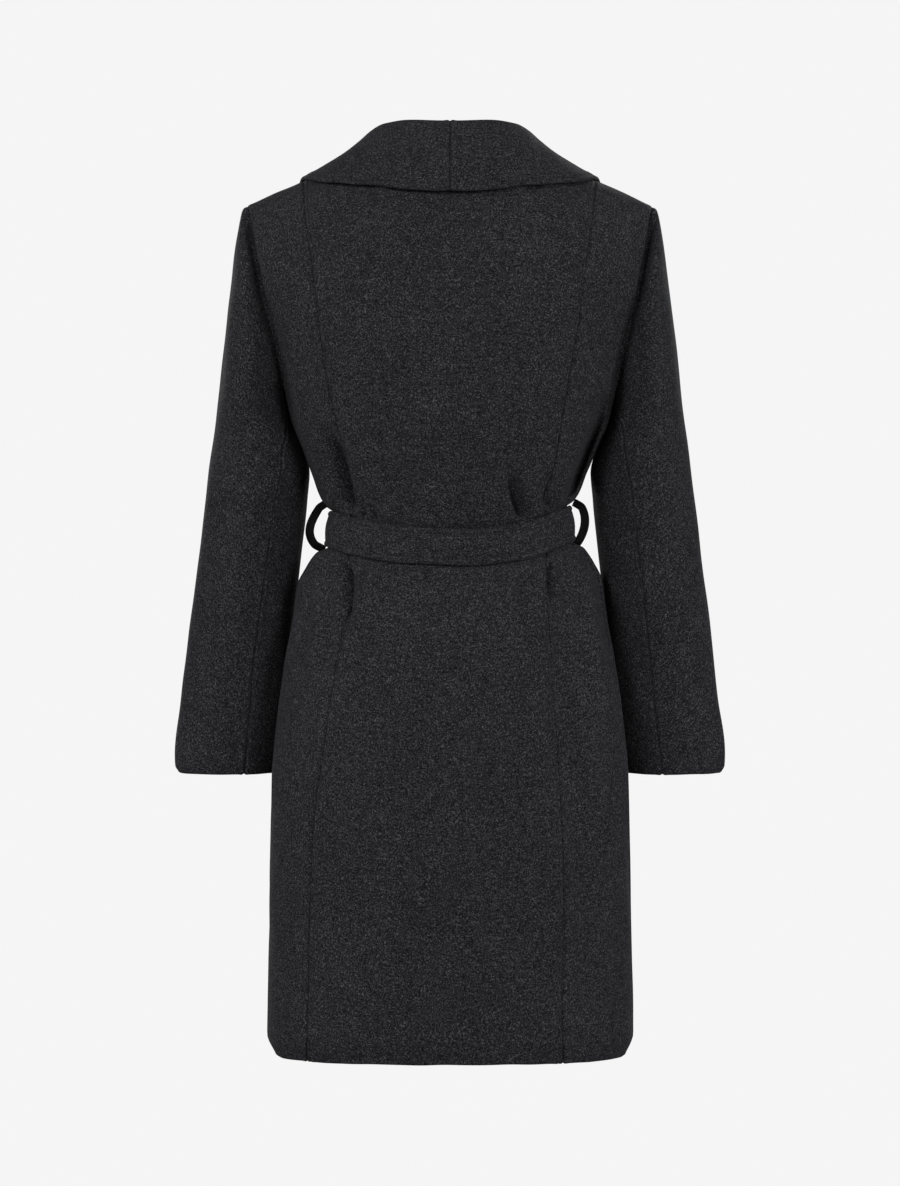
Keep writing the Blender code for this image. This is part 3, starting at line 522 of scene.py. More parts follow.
def shell(
    name: str, outer: Array, inner: Array, rim: Rim, start: float = 0.0, steps: int = 4
) -> bpy.types.Object:
    """A thin closed wall from two grids, its rim a part of a half circle where it rounds out.

    Args:
        name: The piece's name.
        outer: The grid of the outer face.
        inner: The grid of the inner face, of the same shape.
        rim: How far each edge rounds out.
        start: Where its pattern starts on the flat cloth.
        steps: The number of faces across the rim.

    Returns:
        The new object.
    """
    rows, columns = outer.shape[:2]
    count = rows * columns
    grid = np.arange(count).reshape(rows, columns)
    quads = quads_of(grid)
    ring = np.concatenate([grid[0, :-1], grid[:-1, -1], grid[-1, :0:-1], grid[:0:-1, 0]])
    away = np.zeros_like(outer)
    away[0] += unit(outer[0] - outer[1]) * rim.top
    away[-1] += unit(outer[-1] - outer[-2]) * rim.bottom
    away[:, 0] += unit(outer[:, 0] - outer[:, 1]) * rim.first
    away[:, -1] += unit(outer[:, -1] - outer[:, -2]) * rim.last
    away = away.reshape(-1, 3)[ring]
    outside, inside = outer.reshape(-1, 3), inner.reshape(-1, 3)
    middle, half = (outside + inside)[ring] / 2, (outside - inside)[ring] / 2
    points, loops = [outside, inside], [ring]
    for step in range(1, steps):
        turn = math.pi * step / steps
        bulge = away * length_of(half)[:, None] * math.sin(turn)
        points.append(middle + half * math.cos(turn) + bulge)
        loops.append(2 * count + (step - 1) * len(ring) + np.arange(len(ring)))
    loops.append(ring + count)
    faces = [quads, quads[:, ::-1] + count]
    for near, far in zip(loops, loops[1:]):
        faces.append(np.stack([np.roll(near, -1), near, far, np.roll(far, -1)], axis=-1))
    place = flat_places(outer, start)
    uv = np.concatenate([place, place, *[place[ring]] * (steps - 1)])
    return add_mesh(name, np.concatenate(points), [np.concatenate(faces)], uv)


# ---- shader maths ----

Value = Union["Shade", float, Sequence[float]]


@dataclass(frozen=True)
class Shade:
    """A socket of a material, with the operators of plain arithmetic."""

    tree: bpy.types.NodeTree
    socket: Optional[bpy.types.NodeSocket] = None

    def node(
        self,
        kind: str,
        settings: Mapping[str, object],
        sockets: Mapping[Union[str, int], Value],
        output: Optional[Union[str, int]] = 0,
    ) -> "Shade":
        """Adds a node of any kind.

        Args:
            kind: The node's type.
            settings: Its settings, set first; stops are a ramp's places and colours.
            sockets: The value or link of each input, by name or number.
            output: The output to go on with, or None for a node that ends the chain.

        Returns:
            That output.
        """
        node = self.tree.nodes.new(kind)
        for name, value in settings.items():
            if name == "stops":
                for _ in range(len(value) - 2):
                    node.color_ramp.elements.new(0.5)
                for element, (place, color) in zip(node.color_ramp.elements, value):
                    element.position, element.color = place, (*color, 1)
            else:
                setattr(node, name, value)
        for key, value in sockets.items():
            if isinstance(value, Shade):
                self.tree.links.new(value.socket, node.inputs[key])
            else:
                node.inputs[key].default_value = value
        return Shade(self.tree, None if output is None else node.outputs[output])

    def maths(self, operation: str, first: Value, second: Value = 0.0) -> "Shade":
        """One step of arithmetic, as a Math node."""
        return self.node("ShaderNodeMath", {"operation": operation}, {0: first, 1: second})

    def __add__(self, other: Value) -> "Shade":
        """The sum."""
        return self.maths("ADD", self, other)

    def __sub__(self, other: Value) -> "Shade":
        """The difference."""
        return self.maths("SUBTRACT", self, other)

    def __mul__(self, other: Value) -> "Shade":
        """The product."""
        return self.maths("MULTIPLY", self, other)

    __radd__, __rmul__ = __add__, __mul__

    def noise(self, scale: float, stretch: Color = (1, 1, 1), detail: float = 2.0) -> "Shade":
        """Even noise about 0 on this vector.

        Args:
            scale: About how many lumps it has to the metre.
            stretch: What each axis of the scale is multiplied by.
            detail: How many finer layers it has.

        Returns:
            The noise, from about -0.5 to 0.5.
        """
        spread = {0: self, 1: tuple(scale * s for s in stretch)}
        place = self.node("ShaderNodeVectorMath", {"operation": "MULTIPLY"}, spread)
        sockets = {"Vector": place, "Scale": 1.0, "Detail": detail, "Roughness": 0.6}
        return self.node("ShaderNodeTexNoise", {"noise_dimensions": "3D"}, sockets) - 0.5


@dataclass(frozen=True)
class Finish:
    """What a piece is made of: a slot of the record, and a material that is made once."""

    slot: str

    @property
    def label(self) -> str:
        """The material's name."""
        return self.slot + "_cloth"

    def paint(self, tree: bpy.types.NodeTree, shader: bpy.types.Node) -> None:
        """Builds the material's nodes; each finish has its own."""
        raise NotImplementedError

    def material(self) -> bpy.types.Material:
        """The material, made when the first piece asks for it.

        Returns:
            The material that all the pieces of this finish share.
        """
        made = bpy.data.materials.get(self.label)
        if made is None:
            made = bpy.data.materials.new(self.label)
            made.use_nodes = True
            self.paint(made.node_tree, made.node_tree.nodes["Principled BSDF"])
        return made


@dataclass(frozen=True)
class Wool(Finish):
    """Brushed coating cloth: dark and light fibres felted into fine flecks, with a soft nap.

    Flecks, fibres, streaks, mottles and clouds are noises, each given as lumps to the metre.
    """

    darkest: Color
    dark: Color
    middle: Color
    light: Color
    lightest: Color
    flecks: float = 700.0
    fibres: float = 1540.0
    streaks: float = 350.0
    mottles: float = 90.0
    clouds: float = 15.0
    fleck_share: float = 1.85
    streak_share: float = 0.35
    mottle_share: float = 0.13
    cloud_share: float = 0.10
    nap: float = 0.35
    nap_depth: float = 0.0006
    roughness: float = 0.93
    gloss: float = 0.03
    sheen: float = 0.01

    def paint(self, tree: bpy.types.NodeTree, shader: bpy.types.Node) -> None:
        """Melange: noises of four sizes are added up and a ramp turns the sum into a colour.

        Args:
            tree: The material's nodes.
            shader: Its surface.
        """
        place = Shade(tree).node("ShaderNodeTexCoord", {}, {}, "Object")
        cloth = place.node("ShaderNodeUVMap", {"uv_map": "cloth"}, {})
        fleck = place.noise(self.flecks)
        fibre = place.noise(self.fibres, detail=1.0)
        streak = cloth.noise(self.streaks, (0.3, 1, 1))
        mottle = place.noise(self.mottles)
        cloud = place.noise(self.clouds)
        tone = 0.5 + self.fleck_share * fleck + self.streak_share * streak
        tone = tone + self.mottle_share * mottle + self.cloud_share * cloud
        stops = [
            (0.08, self.darkest),
            (0.34, self.dark),
            (0.50, self.middle),
            (0.66, self.light),
            (0.95, self.lightest),
        ]
        color = tone.node("ShaderNodeValToRGB", {"stops": stops}, {0: tone})
        height = 0.65 * fleck + 0.35 * fibre + 0.5 * mottle
        bump = {"Strength": self.nap, "Distance": self.nap_depth, "Height": height}
        normal = tone.node("ShaderNodeBump", {}, bump)
        tree.links.new(color.socket, shader.inputs["Base Color"])
        tree.links.new((self.roughness + 0.2 * mottle).socket, shader.inputs["Roughness"])
        tree.links.new(normal.socket, shader.inputs["Normal"])
        shader.inputs["Specular IOR Level"].default_value = self.gloss
        shader.inputs["Sheen Weight"].default_value = self.sheen
        shader.inputs["Sheen Roughness"].default_value = 0.6


@dataclass(frozen=True)
class Thread(Finish):
    """Sewing thread: two plies twisted together, a little darker and smoother than the wool."""

    dark: Color
    light: Color
    plies: float = 1400.0
    ply_depth: float = 0.0002

    @property
    def label(self) -> str:
        """The material's name."""
        return "thread"

    def paint(self, tree: bpy.types.NodeTree, shader: bpy.types.Node) -> None:
        """Slanting bands along the stitch, from a wave on its own lengths.

        Args:
            tree: The material's nodes.
            shader: Its surface.
        """
        place = Shade(tree).node("ShaderNodeUVMap", {"uv_map": "cloth"}, {})
        sockets = {"Vector": place, "Scale": self.plies, "Distortion": 0.4}
        ply = place.node("ShaderNodeTexWave", {"bands_direction": "DIAGONAL"}, sockets, 1)
        blend = {0: ply, 6: (*self.dark, 1), 7: (*self.light, 1)}
        color = ply.node("ShaderNodeMix", {"data_type": "RGBA"}, blend, 2)
        bump = {"Strength": 0.4, "Distance": self.ply_depth, "Height": ply}
        tree.links.new(color.socket, shader.inputs["Base Color"])
        tree.links.new(place.node("ShaderNodeBump", {}, bump).socket, shader.inputs["Normal"])
        shader.inputs["Roughness"].default_value = 0.7


CHARCOAL = Wool(
    "charcoal_wool",
    darkest=(0.0036, 0.0036, 0.004),
    dark=(0.0084, 0.0084, 0.0095),
    middle=(0.0158, 0.0158, 0.0177),
    light=(0.0295, 0.0295, 0.0325),
    lightest=(0.085, 0.085, 0.090),
)
# Painted shade: a copy of the charcoal wool made nearly black for the belt carriers, whose darkness
# is shade on the cloth.
SHADE_DARKENED_WOOL = Wool(
    "black_wool",
    darkest=(0.0025, 0.0025, 0.0028),
    dark=(0.004, 0.004, 0.0044),
    middle=(0.0055, 0.0055, 0.006),
    light=(0.0075, 0.0075, 0.0082),
    lightest=(0.012, 0.012, 0.013),
    nap=0.2,
    sheen=0.0,
)
THREAD = Thread("charcoal_wool", dark=(0.0035, 0.0035, 0.004), light=(0.010, 0.010, 0.011))


class Side(Enum):
    """A side of the wearer; its value is the sign of X there."""

    LEFT = 1
    RIGHT = -1

    @property
    def word(self) -> str:
        """The side as the nodes' names have it."""
        return self.name.lower()

    @property
    def mirror(self) -> Array:
        """What points of the left side are multiplied by to lie on this one."""
        return np.array([self.value, 1, 1])


class Held(Enum):
    HUNG = "hung"
    DRAPED = "draped"
    STRETCHED = "stretched"
    FOLDED = "folded"


class Cut(NamedTuple):
    """What a piece is cut to: its width, its length and the area between its edges."""

    width: float
    length: float
    area: float

    @property
    def flat(self) -> tuple[float, float]:
        """Its width and length."""
        return self.width, self.length


def dress(piece: bpy.types.Object, finish: Finish, *nodes: str) -> bpy.types.Object:
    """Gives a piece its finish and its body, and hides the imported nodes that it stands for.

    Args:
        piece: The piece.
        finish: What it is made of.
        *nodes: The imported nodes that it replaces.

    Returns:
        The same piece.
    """
    piece.data.materials.append(finish.material())
    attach(piece, "root")
    if nodes:
        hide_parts(*nodes)
    LOG.info("%s: %d faces", piece.name, len(piece.data.polygons))
    return piece


# ---- the coat's forms ----


class Swell(NamedTuple):
    """A stretch round the armhole, in degrees: where it starts and ends, and how slowly."""

    start: float
    grows_over: float
    stop: float
    fades_over: float

    def at(self, around: Array) -> Array:
        """1 inside the stretch, 0 outside it and an even S at both ends."""
        grown = smooth_step((around - self.start) / self.grows_over)
        return grown * smooth_step((self.stop - around) / self.fades_over)


@dataclass(frozen=True)
class BodyForm:
    """The outer surface of the body, as a function of an angle round it and a level on it.

    The angle runs from the centre back (0) over the wearer's left side (90) to the centre front
    (180); the right side is negative. The level is 0 on the shoulder line, negative below it.
    """

    blade: float = -0.130
    underarm: float = -0.235
    belt_middle: float = -0.3975
    neck_half: float = 0.079
    neck_back: float = 0.058
    neck_level: float = 0.018
    neck_drop: float = 0.020
    shoulder_tip: float = 0.212
    shoulder_slope: float = 0.40
    tip_drop: float = 0.0032
    armhole_back: float = 21.0
    armhole_front: float = 24.0
    side_rise: float = 0.021
    right_more: float = 0.006
    rise_spread: float = 0.10
    hem_rise: float = 0.0022
    hem_rise_over: float = 0.03
    tuck: float = 0.0105
    tuck_ease: float = 0.055
    step_round: float = 0.4
    step_along: float = 0.0004
    degree_step: float = 0.3
    least_per_degree: float = 0.0004
    fold_width: float = 0.0062
    fold_ends: float = 130.0
    fold_fade: float = 40.0
    armhole_crease: float = 0.0125
    crease_behind: Swell = Swell(25, 50, 176, 40)
    front_crease: float = 0.005
    crease_before: Swell = Swell(184, 40, 352, 50)
    body_width: float = 0.0016
    sleeve_width: float = 0.018

    def spread(self, short_of_side: float) -> float:
        """How much wider the shoulder line is than the armhole edge at the blade level."""
        share = math.cos(math.radians(short_of_side)) ** (2 / float(ROUNDNESS(self.blade)))
        return self.shoulder_tip / (float(HALF_WIDTH(self.blade)) * share)

    def turn_over(self, height: Array) -> Array:
        """The turn from the shoulder line (0) to the blade level (a quarter), in radians."""
        return np.clip(np.asarray(height, float) / self.blade, 0, 1) * math.pi / 2

    def creased(self, x: Array, height: Array, front: Array) -> Array:
        """How far the creases pull the cloth in.

        Each is a bell curve across a straight line, times a swell down to its deepest level and
        a fade below it.

        Args:
            x: The distance from the middle.
            height: The level.
            front: Whether the place is on the front.

        Returns:
            The depth at each place.
        """
        depth = np.zeros(np.broadcast(x, height).shape)
        for creases, here in ((BACK_CREASES, ~front), (FRONT_CREASES, front)):
            for crease in creases:
                below = crease.top - height
                along = np.clip(below / (crease.top - crease.bottom), 0, 1)
                centre = crease.x_top + (crease.x_bottom - crease.x_top) * along
                swell = smooth_step(below / (crease.top - crease.peak))
                fade = smooth_step((height - crease.bottom) / (crease.peak - crease.bottom))
                shape = crease.depth * swell * fade * hump(x - centre, crease.width)
                depth += np.where(here, shape, 0)
        return depth

    def point(self, angle: Array, height: Array, under: bool = False) -> Array:
        """A point of the surface.

        Below the blade level each section is a superellipse, lifted at the sides of the belt and
        in the middle of the hem. Above it the cloth turns over to the shoulder line along a
        quarter of an ellipse. The deep fold down the right side and the creases pull it in.

        Args:
            angle: The angle round the body.
            height: The level.
            under: Whether the place is on the left front, which lies inside the right one.

        Returns:
            The points.
        """
        angle, height = np.broadcast_arrays(np.asarray(angle, float), np.asarray(height, float))
        level = np.minimum(height, self.blade)
        turn = np.radians(angle)
        sine, cosine = np.sin(turn), np.cos(turn)
        back = cosine > 0
        power = 2 / ROUNDNESS(level)
        x = HALF_WIDTH(level) * signed_power(sine, power)
        y = np.where(back, BACK_DEPTH(level), FRONT_DEPTH(level)) * signed_power(cosine, power)
        lift = hump(level - self.belt_middle, self.rise_spread)
        rise = self.side_rise + np.where(angle < 0, self.right_more, 0) * sine**2
        z = level + rise * np.where(back, sine**2, 1) * lift
        by_hem = smooth_step((HEM + self.hem_rise_over - level) / self.hem_rise_over)
        z = z + self.hem_rise * cosine**2 * by_hem

        x_top = x * np.where(back, self.spread(self.armhole_back), self.spread(self.armhole_front))
        neck = np.clip(1 - (x_top / self.neck_half) ** 2, 0, 1)
        y_top = np.where(back, self.neck_back * np.sqrt(neck), 0)
        slope = self.shoulder_slope * np.maximum(np.abs(x_top) - self.neck_half, 0)
        tip = self.tip_drop * np.abs(x_top / self.shoulder_tip) ** 6
        rise = self.shoulder_slope * self.neck_half / 2 * neck
        z_top = self.neck_level - slope - tip
        z_top = z_top + np.where(back, -self.neck_drop * neck**2, rise)

        over = self.turn_over(height)
        x = x + (x_top - x) * np.cos(over)
        y = y_top + (y - y_top) * np.sin(over)
        z = z_top + (z - z_top) * (1 - np.cos(over))

        fold = FOLD_DEPTH(level) * hump(-x - FOLD_X(level), self.fold_width)
        y = y - fold * smooth_step((self.fold_ends + angle) / self.fold_fade)
        inward = self.creased(x, height, ~back)
        if under:
            cover = -FRONT_EDGE(height)
            inward = inward + self.tuck * smooth_step((cover + self.tuck_ease - x) / self.tuck_ease)
        return stacked(x - inward * sine, y - inward * cosine, z)

    def normal(self, angle: Array, height: Array, under: bool = False) -> Array:
        """The outward direction, from small steps round and along the surface.

        Args:
            angle: The angle round the body.
            height: The level.
            under: Whether the place is on the left front.

        Returns:
            A vector of length 1 for each place.
        """
        height = np.minimum(height, -self.step_along)
        ahead, behind = angle + self.step_round, angle - self.step_round
        above, below = height + self.step_along, height - self.step_along
        across = self.point(ahead, height, under) - self.point(behind, height, under)
        up = self.point(angle, above, under) - self.point(angle, below, under)
        return unit(np.cross(up, across))

    def angle_at(self, x: Array, height: Array, front: bool = False) -> Array:
        """The angle of the surface point that lies this far from the middle.

        Args:
            x: The distance from the middle.
            height: The level.
            front: Whether the point is on the front.

        Returns:
            The angle at each place.
        """
        level = np.minimum(height, self.blade)
        spread = self.spread(self.armhole_front if front else self.armhole_back)
        section = x / (1 + (spread - 1) * np.cos(self.turn_over(height)))
        share = np.clip(np.abs(section) / HALF_WIDTH(level), 0, 1)
        turn = np.degrees(np.arcsin(share ** (ROUNDNESS(level) / 2))) * np.sign(x)
        return 180 - turn if front else turn

    def armhole_angle(self, height: Array, short_of_side: float) -> Array:
        """The armhole edge: straight above the blade level, then a quarter round below it."""
        below = np.clip((self.blade - height) / (self.blade - self.underarm), 0, 1)
        return 90 - short_of_side * np.sqrt(1 - below**2)

    def ring_height(self, around: Array) -> Array:
        """The armhole edge's level at an angle round it: 0 at the shoulder, 180 underarm."""
        return self.underarm * (1 - np.cos(np.radians(around))) / 2

    def armhole(self, around: Array) -> tuple[Array, Array]:
        """The left armhole's edge.

        Args:
            around: The angle round it: 0 at the shoulder, 90 behind, 180 at the underarm.

        Returns:
            Its points, and the body's outward direction at each of them.
        """
        around = np.mod(around, 360.0)
        height = self.ring_height(around)
        behind = self.armhole_angle(height, self.armhole_back)
        before = 180 - self.armhole_angle(height, self.armhole_front)
        angle = np.where(around <= 180, behind, before)
        return self.point(angle, height), self.normal(angle, height)

    def sunk(self, around: Array, distance: Array, sleeve: bool) -> Array:
        """How far body and sleeve sink together at the armhole seam, most of all behind.

        The body's edge rolls over it, and the sleeve comes back out slowly.

        Args:
            around: The place round the armhole.
            distance: The distance from its edge.
            sleeve: Whether the place is on the sleeve.

        Returns:
            The depth at each place.
        """
        around = np.mod(around, 360.0)
        depth = self.armhole_crease * self.crease_behind.at(around)
        depth = depth + self.front_crease * self.crease_before.at(around)
        if sleeve:
            return depth * (1 - smooth_step(distance / self.sleeve_width))
        return depth * np.exp(-distance / self.body_width)

    def per_degree(self, angle: Array, height: Array) -> Array:
        """How far the surface runs for one degree round it.

        Args:
            angle: The angle round the body.
            height: The level.

        Returns:
            The length at each place, held above the least one.
        """
        step = self.degree_step
        ahead, behind = self.point(angle + step, height), self.point(angle - step, height)
        return np.maximum(length_of(ahead - behind) / (2 * step), self.least_per_degree)


COAT = BodyForm()


@dataclass(frozen=True)
class SeamLook:
    """How cloth rolls in at a seam, puffs beside it and sinks under a row of stitches."""

    dip: float = 0.0016
    dip_width: float = 0.0012
    puff: float = 0.0005
    puff_place: float = 0.0036
    puff_width: float = 0.0022
    channel: float = 0.0007
    channel_width: float = 0.0007
    past_channel: float = 0.0035
    past_width: float = 0.0025
    tip_calm: float = 0.8
    tip_reach: float = 0.016

    def rolled(self, distance: Array) -> Array:
        """The height beside a seam: a bell-shaped dip at it and a lower puff a little way off."""
        puff = self.puff * hump(distance - self.puff_place, self.puff_width)
        return puff - self.dip * hump(distance, self.dip_width)

    def kept(self, level: Array) -> Array:
        """The share of its roll that an armhole seam keeps: little at the shoulder's tip."""
        return 1 - self.tip_calm * hump(level, self.tip_reach)

    def sewn(self, distance: Array) -> Array:
        """The height beside an edge: a channel under its stitches and a puff past them."""
        puff = self.puff * hump(distance - CHANNEL_PLACE - self.past_channel, self.past_width)
        return puff - self.channel * hump(distance - CHANNEL_PLACE, self.channel_width)


SEAM = SeamLook()


# ---- stitches ----


@dataclass(frozen=True)
class Stitching:
    """Rows of stitches, each a small spindle that dives into the cloth at both ends."""

    pitch: float = 0.0038
    length: float = 0.0029
    half_width: float = 0.00034
    rise: float = 0.00022
    sides: int = 6
    rings: tuple[float, ...] = (0.16, 0.5, 0.84)

    def row(self, line: Array, out: Array) -> tuple[Array, Array]:
        """The points of one row of stitches.

        Each stitch has an end point, a few rings and another end point. A ring's radius is the
        half width times the root of a half sine along the stitch, and its height over the cloth
        grows with it.

        Args:
            line: The points that the row follows.
            out: The cloth's outward direction at each of them.

        Returns:
            Points by stitch and place in it, and the lengths along and round each stitch.
        """
        travelled = np.concatenate([[0], np.cumsum(length_of(np.diff(line, axis=0)))])
        starts = np.arange(self.pitch, travelled[-1] - self.pitch, self.pitch)
        share = np.array([0.0, *self.rings, 1.0])
        at = starts[:, None] + self.length * share
        along = np.stack([np.interp(at, travelled, line[:, k]) for k in range(3)], axis=-1)
        up = unit(np.stack([np.interp(at, travelled, out[:, k]) for k in range(3)], axis=-1))
        way = unit(along[:, -1:] - along[:, :1])
        side = unit(np.cross(up, way))
        swell = np.sin(math.pi * share) ** 0.5
        along = along + up * (self.rise * (2 * swell - 1))[None, :, None]
        turn = np.arange(self.sides) * 2 * math.pi / self.sides
        around = side[:, :, None] * np.cos(turn)[:, None] + up[:, :, None] * np.sin(turn)[:, None]
        radius = (self.half_width * swell)[None, :, None, None]
        rings = (along[:, :, None] + around * radius)[:, 1:-1].reshape(len(at), -1, 3)
        points = np.concatenate([along[:, :1], rings, along[:, -1:]], axis=1)
        lengths = np.concatenate([[0], np.repeat(self.rings, self.sides), [1]]) * self.length
        girth = np.concatenate([[0], np.tile(turn, len(self.rings)), [0]]) * self.half_width
        uv = np.broadcast_to(np.stack([lengths, girth], axis=-1), (len(at), len(girth), 2))
        return points, uv

    def build(self, name: str, rows: Sequence[tuple[Array, Array]]) -> bpy.types.Object:
        """One piece from several rows of stitches.

        Args:
            name: The piece's name.
            rows: The line of each row and the outward direction along it.

        Returns:
            The dressed piece.
        """
        made = [self.row(line, out) for line, out in rows]
        points = np.concatenate([p for p, _ in made])
        uv = np.concatenate([u for _, u in made])
        n, between = self.sides, len(self.rings) - 1
        each = 2 + len(self.rings) * n
        near = np.arange(n) + 1
        after = np.roll(near, -1)
        belt = np.stack([near, after, after + n, near + n], axis=-1)
        tips = [
            np.stack([np.zeros(n, int), after, near], axis=-1),
            np.stack([np.full(n, each - 1), near + between * n, after + between * n], axis=-1),
        ]
        base = (np.arange(len(points)) * each)[:, None, None]
        quads = (base + np.concatenate([belt + n * k for k in range(between)])).reshape(-1, 4)
        ends = (base + np.concatenate(tips)).reshape(-1, 3)
        piece = add_mesh(name, points.reshape(-1, 3), [quads, ends], uv.reshape(-1, 2))
        return dress(piece, THREAD)


STITCHES = Stitching()


# ---- body panels ----


@dataclass
class Panel:
    """A panel of the body: a grid of angles and levels, laid on the coat's smooth form.

    An edge is named by its column, 0 or -1. Sewn edges roll in, a stitched edge has a row of
    stitches beside it, and the armhole edge sinks in with the sleeve.
    """

    node: str
    angles: Array
    levels: Array
    start: float
    sewn: tuple[int, ...] = (0, -1)
    stitched: tuple[int, ...] = ()
    armhole: Optional[int] = None
    front: bool = False
    under: bool = False
    hem_fold: float = 0.0022
    hem_depth: float = 0.036
    hem_edge: float = 0.003
    calm_half: float = 0.0165
    calm_fade: float = 0.03
    crease_reach: float = 0.03

    def __post_init__(self) -> None:
        """Works out the smooth form's points and outward directions on the grid."""
        heights = np.broadcast_to(self.levels[:, None], self.angles.shape)
        self.points = COAT.point(self.angles, heights, self.under)
        self.out = COAT.normal(self.angles, heights, self.under)

    def from_edge(self, column: int) -> Array:
        """The distance of each point from the edge in this column, in its own row."""
        return length_of(self.points - self.points[:, column][:, None])

    def relief(self) -> Array:
        """The height of the cloth above its smooth form.

        Its seams and edges are added to the ripple, which fades where the belt holds the cloth.

        Returns:
            The height at each point.
        """
        from_belt = np.abs(self.levels - COAT.belt_middle) - self.calm_half
        fade = smooth_step(from_belt / self.calm_fade)[:, None]
        height = ripple(self.points) * fade
        height += SEAM.rolled(length_of(self.points - self.points[:1]))
        for column in self.sewn:
            height += SEAM.rolled(self.from_edge(column)) * SEAM.kept(self.levels)[:, None]
        for column in self.stitched:
            height += SEAM.sewn(self.from_edge(column))
        return height

    def sunk(self) -> Array:
        """How far the panel sinks beside its armhole edge, from its distance to the edge.

        Returns:
            The depth at each point.
        """
        sunk = np.zeros(self.angles.shape)
        if self.armhole is not None:
            edge = self.points[self.levels >= COAT.underarm, self.armhole]
            near = self.levels > COAT.underarm - self.crease_reach
            spread = length_of(self.points[near][:, :, None] - edge)
            place = np.argmin(spread, axis=-1) * 180 / (len(edge) - 1)
            sunk[near] = COAT.sunk(360 - place if self.front else place, spread.min(-1), False)
        return sunk

    def build(self) -> bpy.types.Object:
        """Turns the grid into cloth: it sinks along Y, stands out by its relief and has a hem.

        Returns:
            The dressed piece.
        """
        smooth = self.points.copy()
        smooth[..., 1] -= self.sunk() * np.sign(np.cos(np.radians(self.angles)))
        self.outer = smooth + self.out * self.relief()[..., None]
        fold = smooth_step((HEM + self.hem_depth - self.levels) / self.hem_edge)[:, None]
        inner = smooth - self.out * (WALL + self.hem_fold * fold)[..., None]
        first, last = (float(column not in self.sewn) for column in (0, -1))
        rim = Rim(bottom=1, first=first, last=last)
        piece = shell(self.node + "_cloth", self.outer, inner, rim, self.start)
        return dress(piece, CHARCOAL, self.node)

    def line(self, column: int, rows: Union[Array, slice]) -> tuple[Array, Array]:
        """The points and outward directions of one column, once it is built."""
        return self.outer[rows, column], self.out[rows, column]


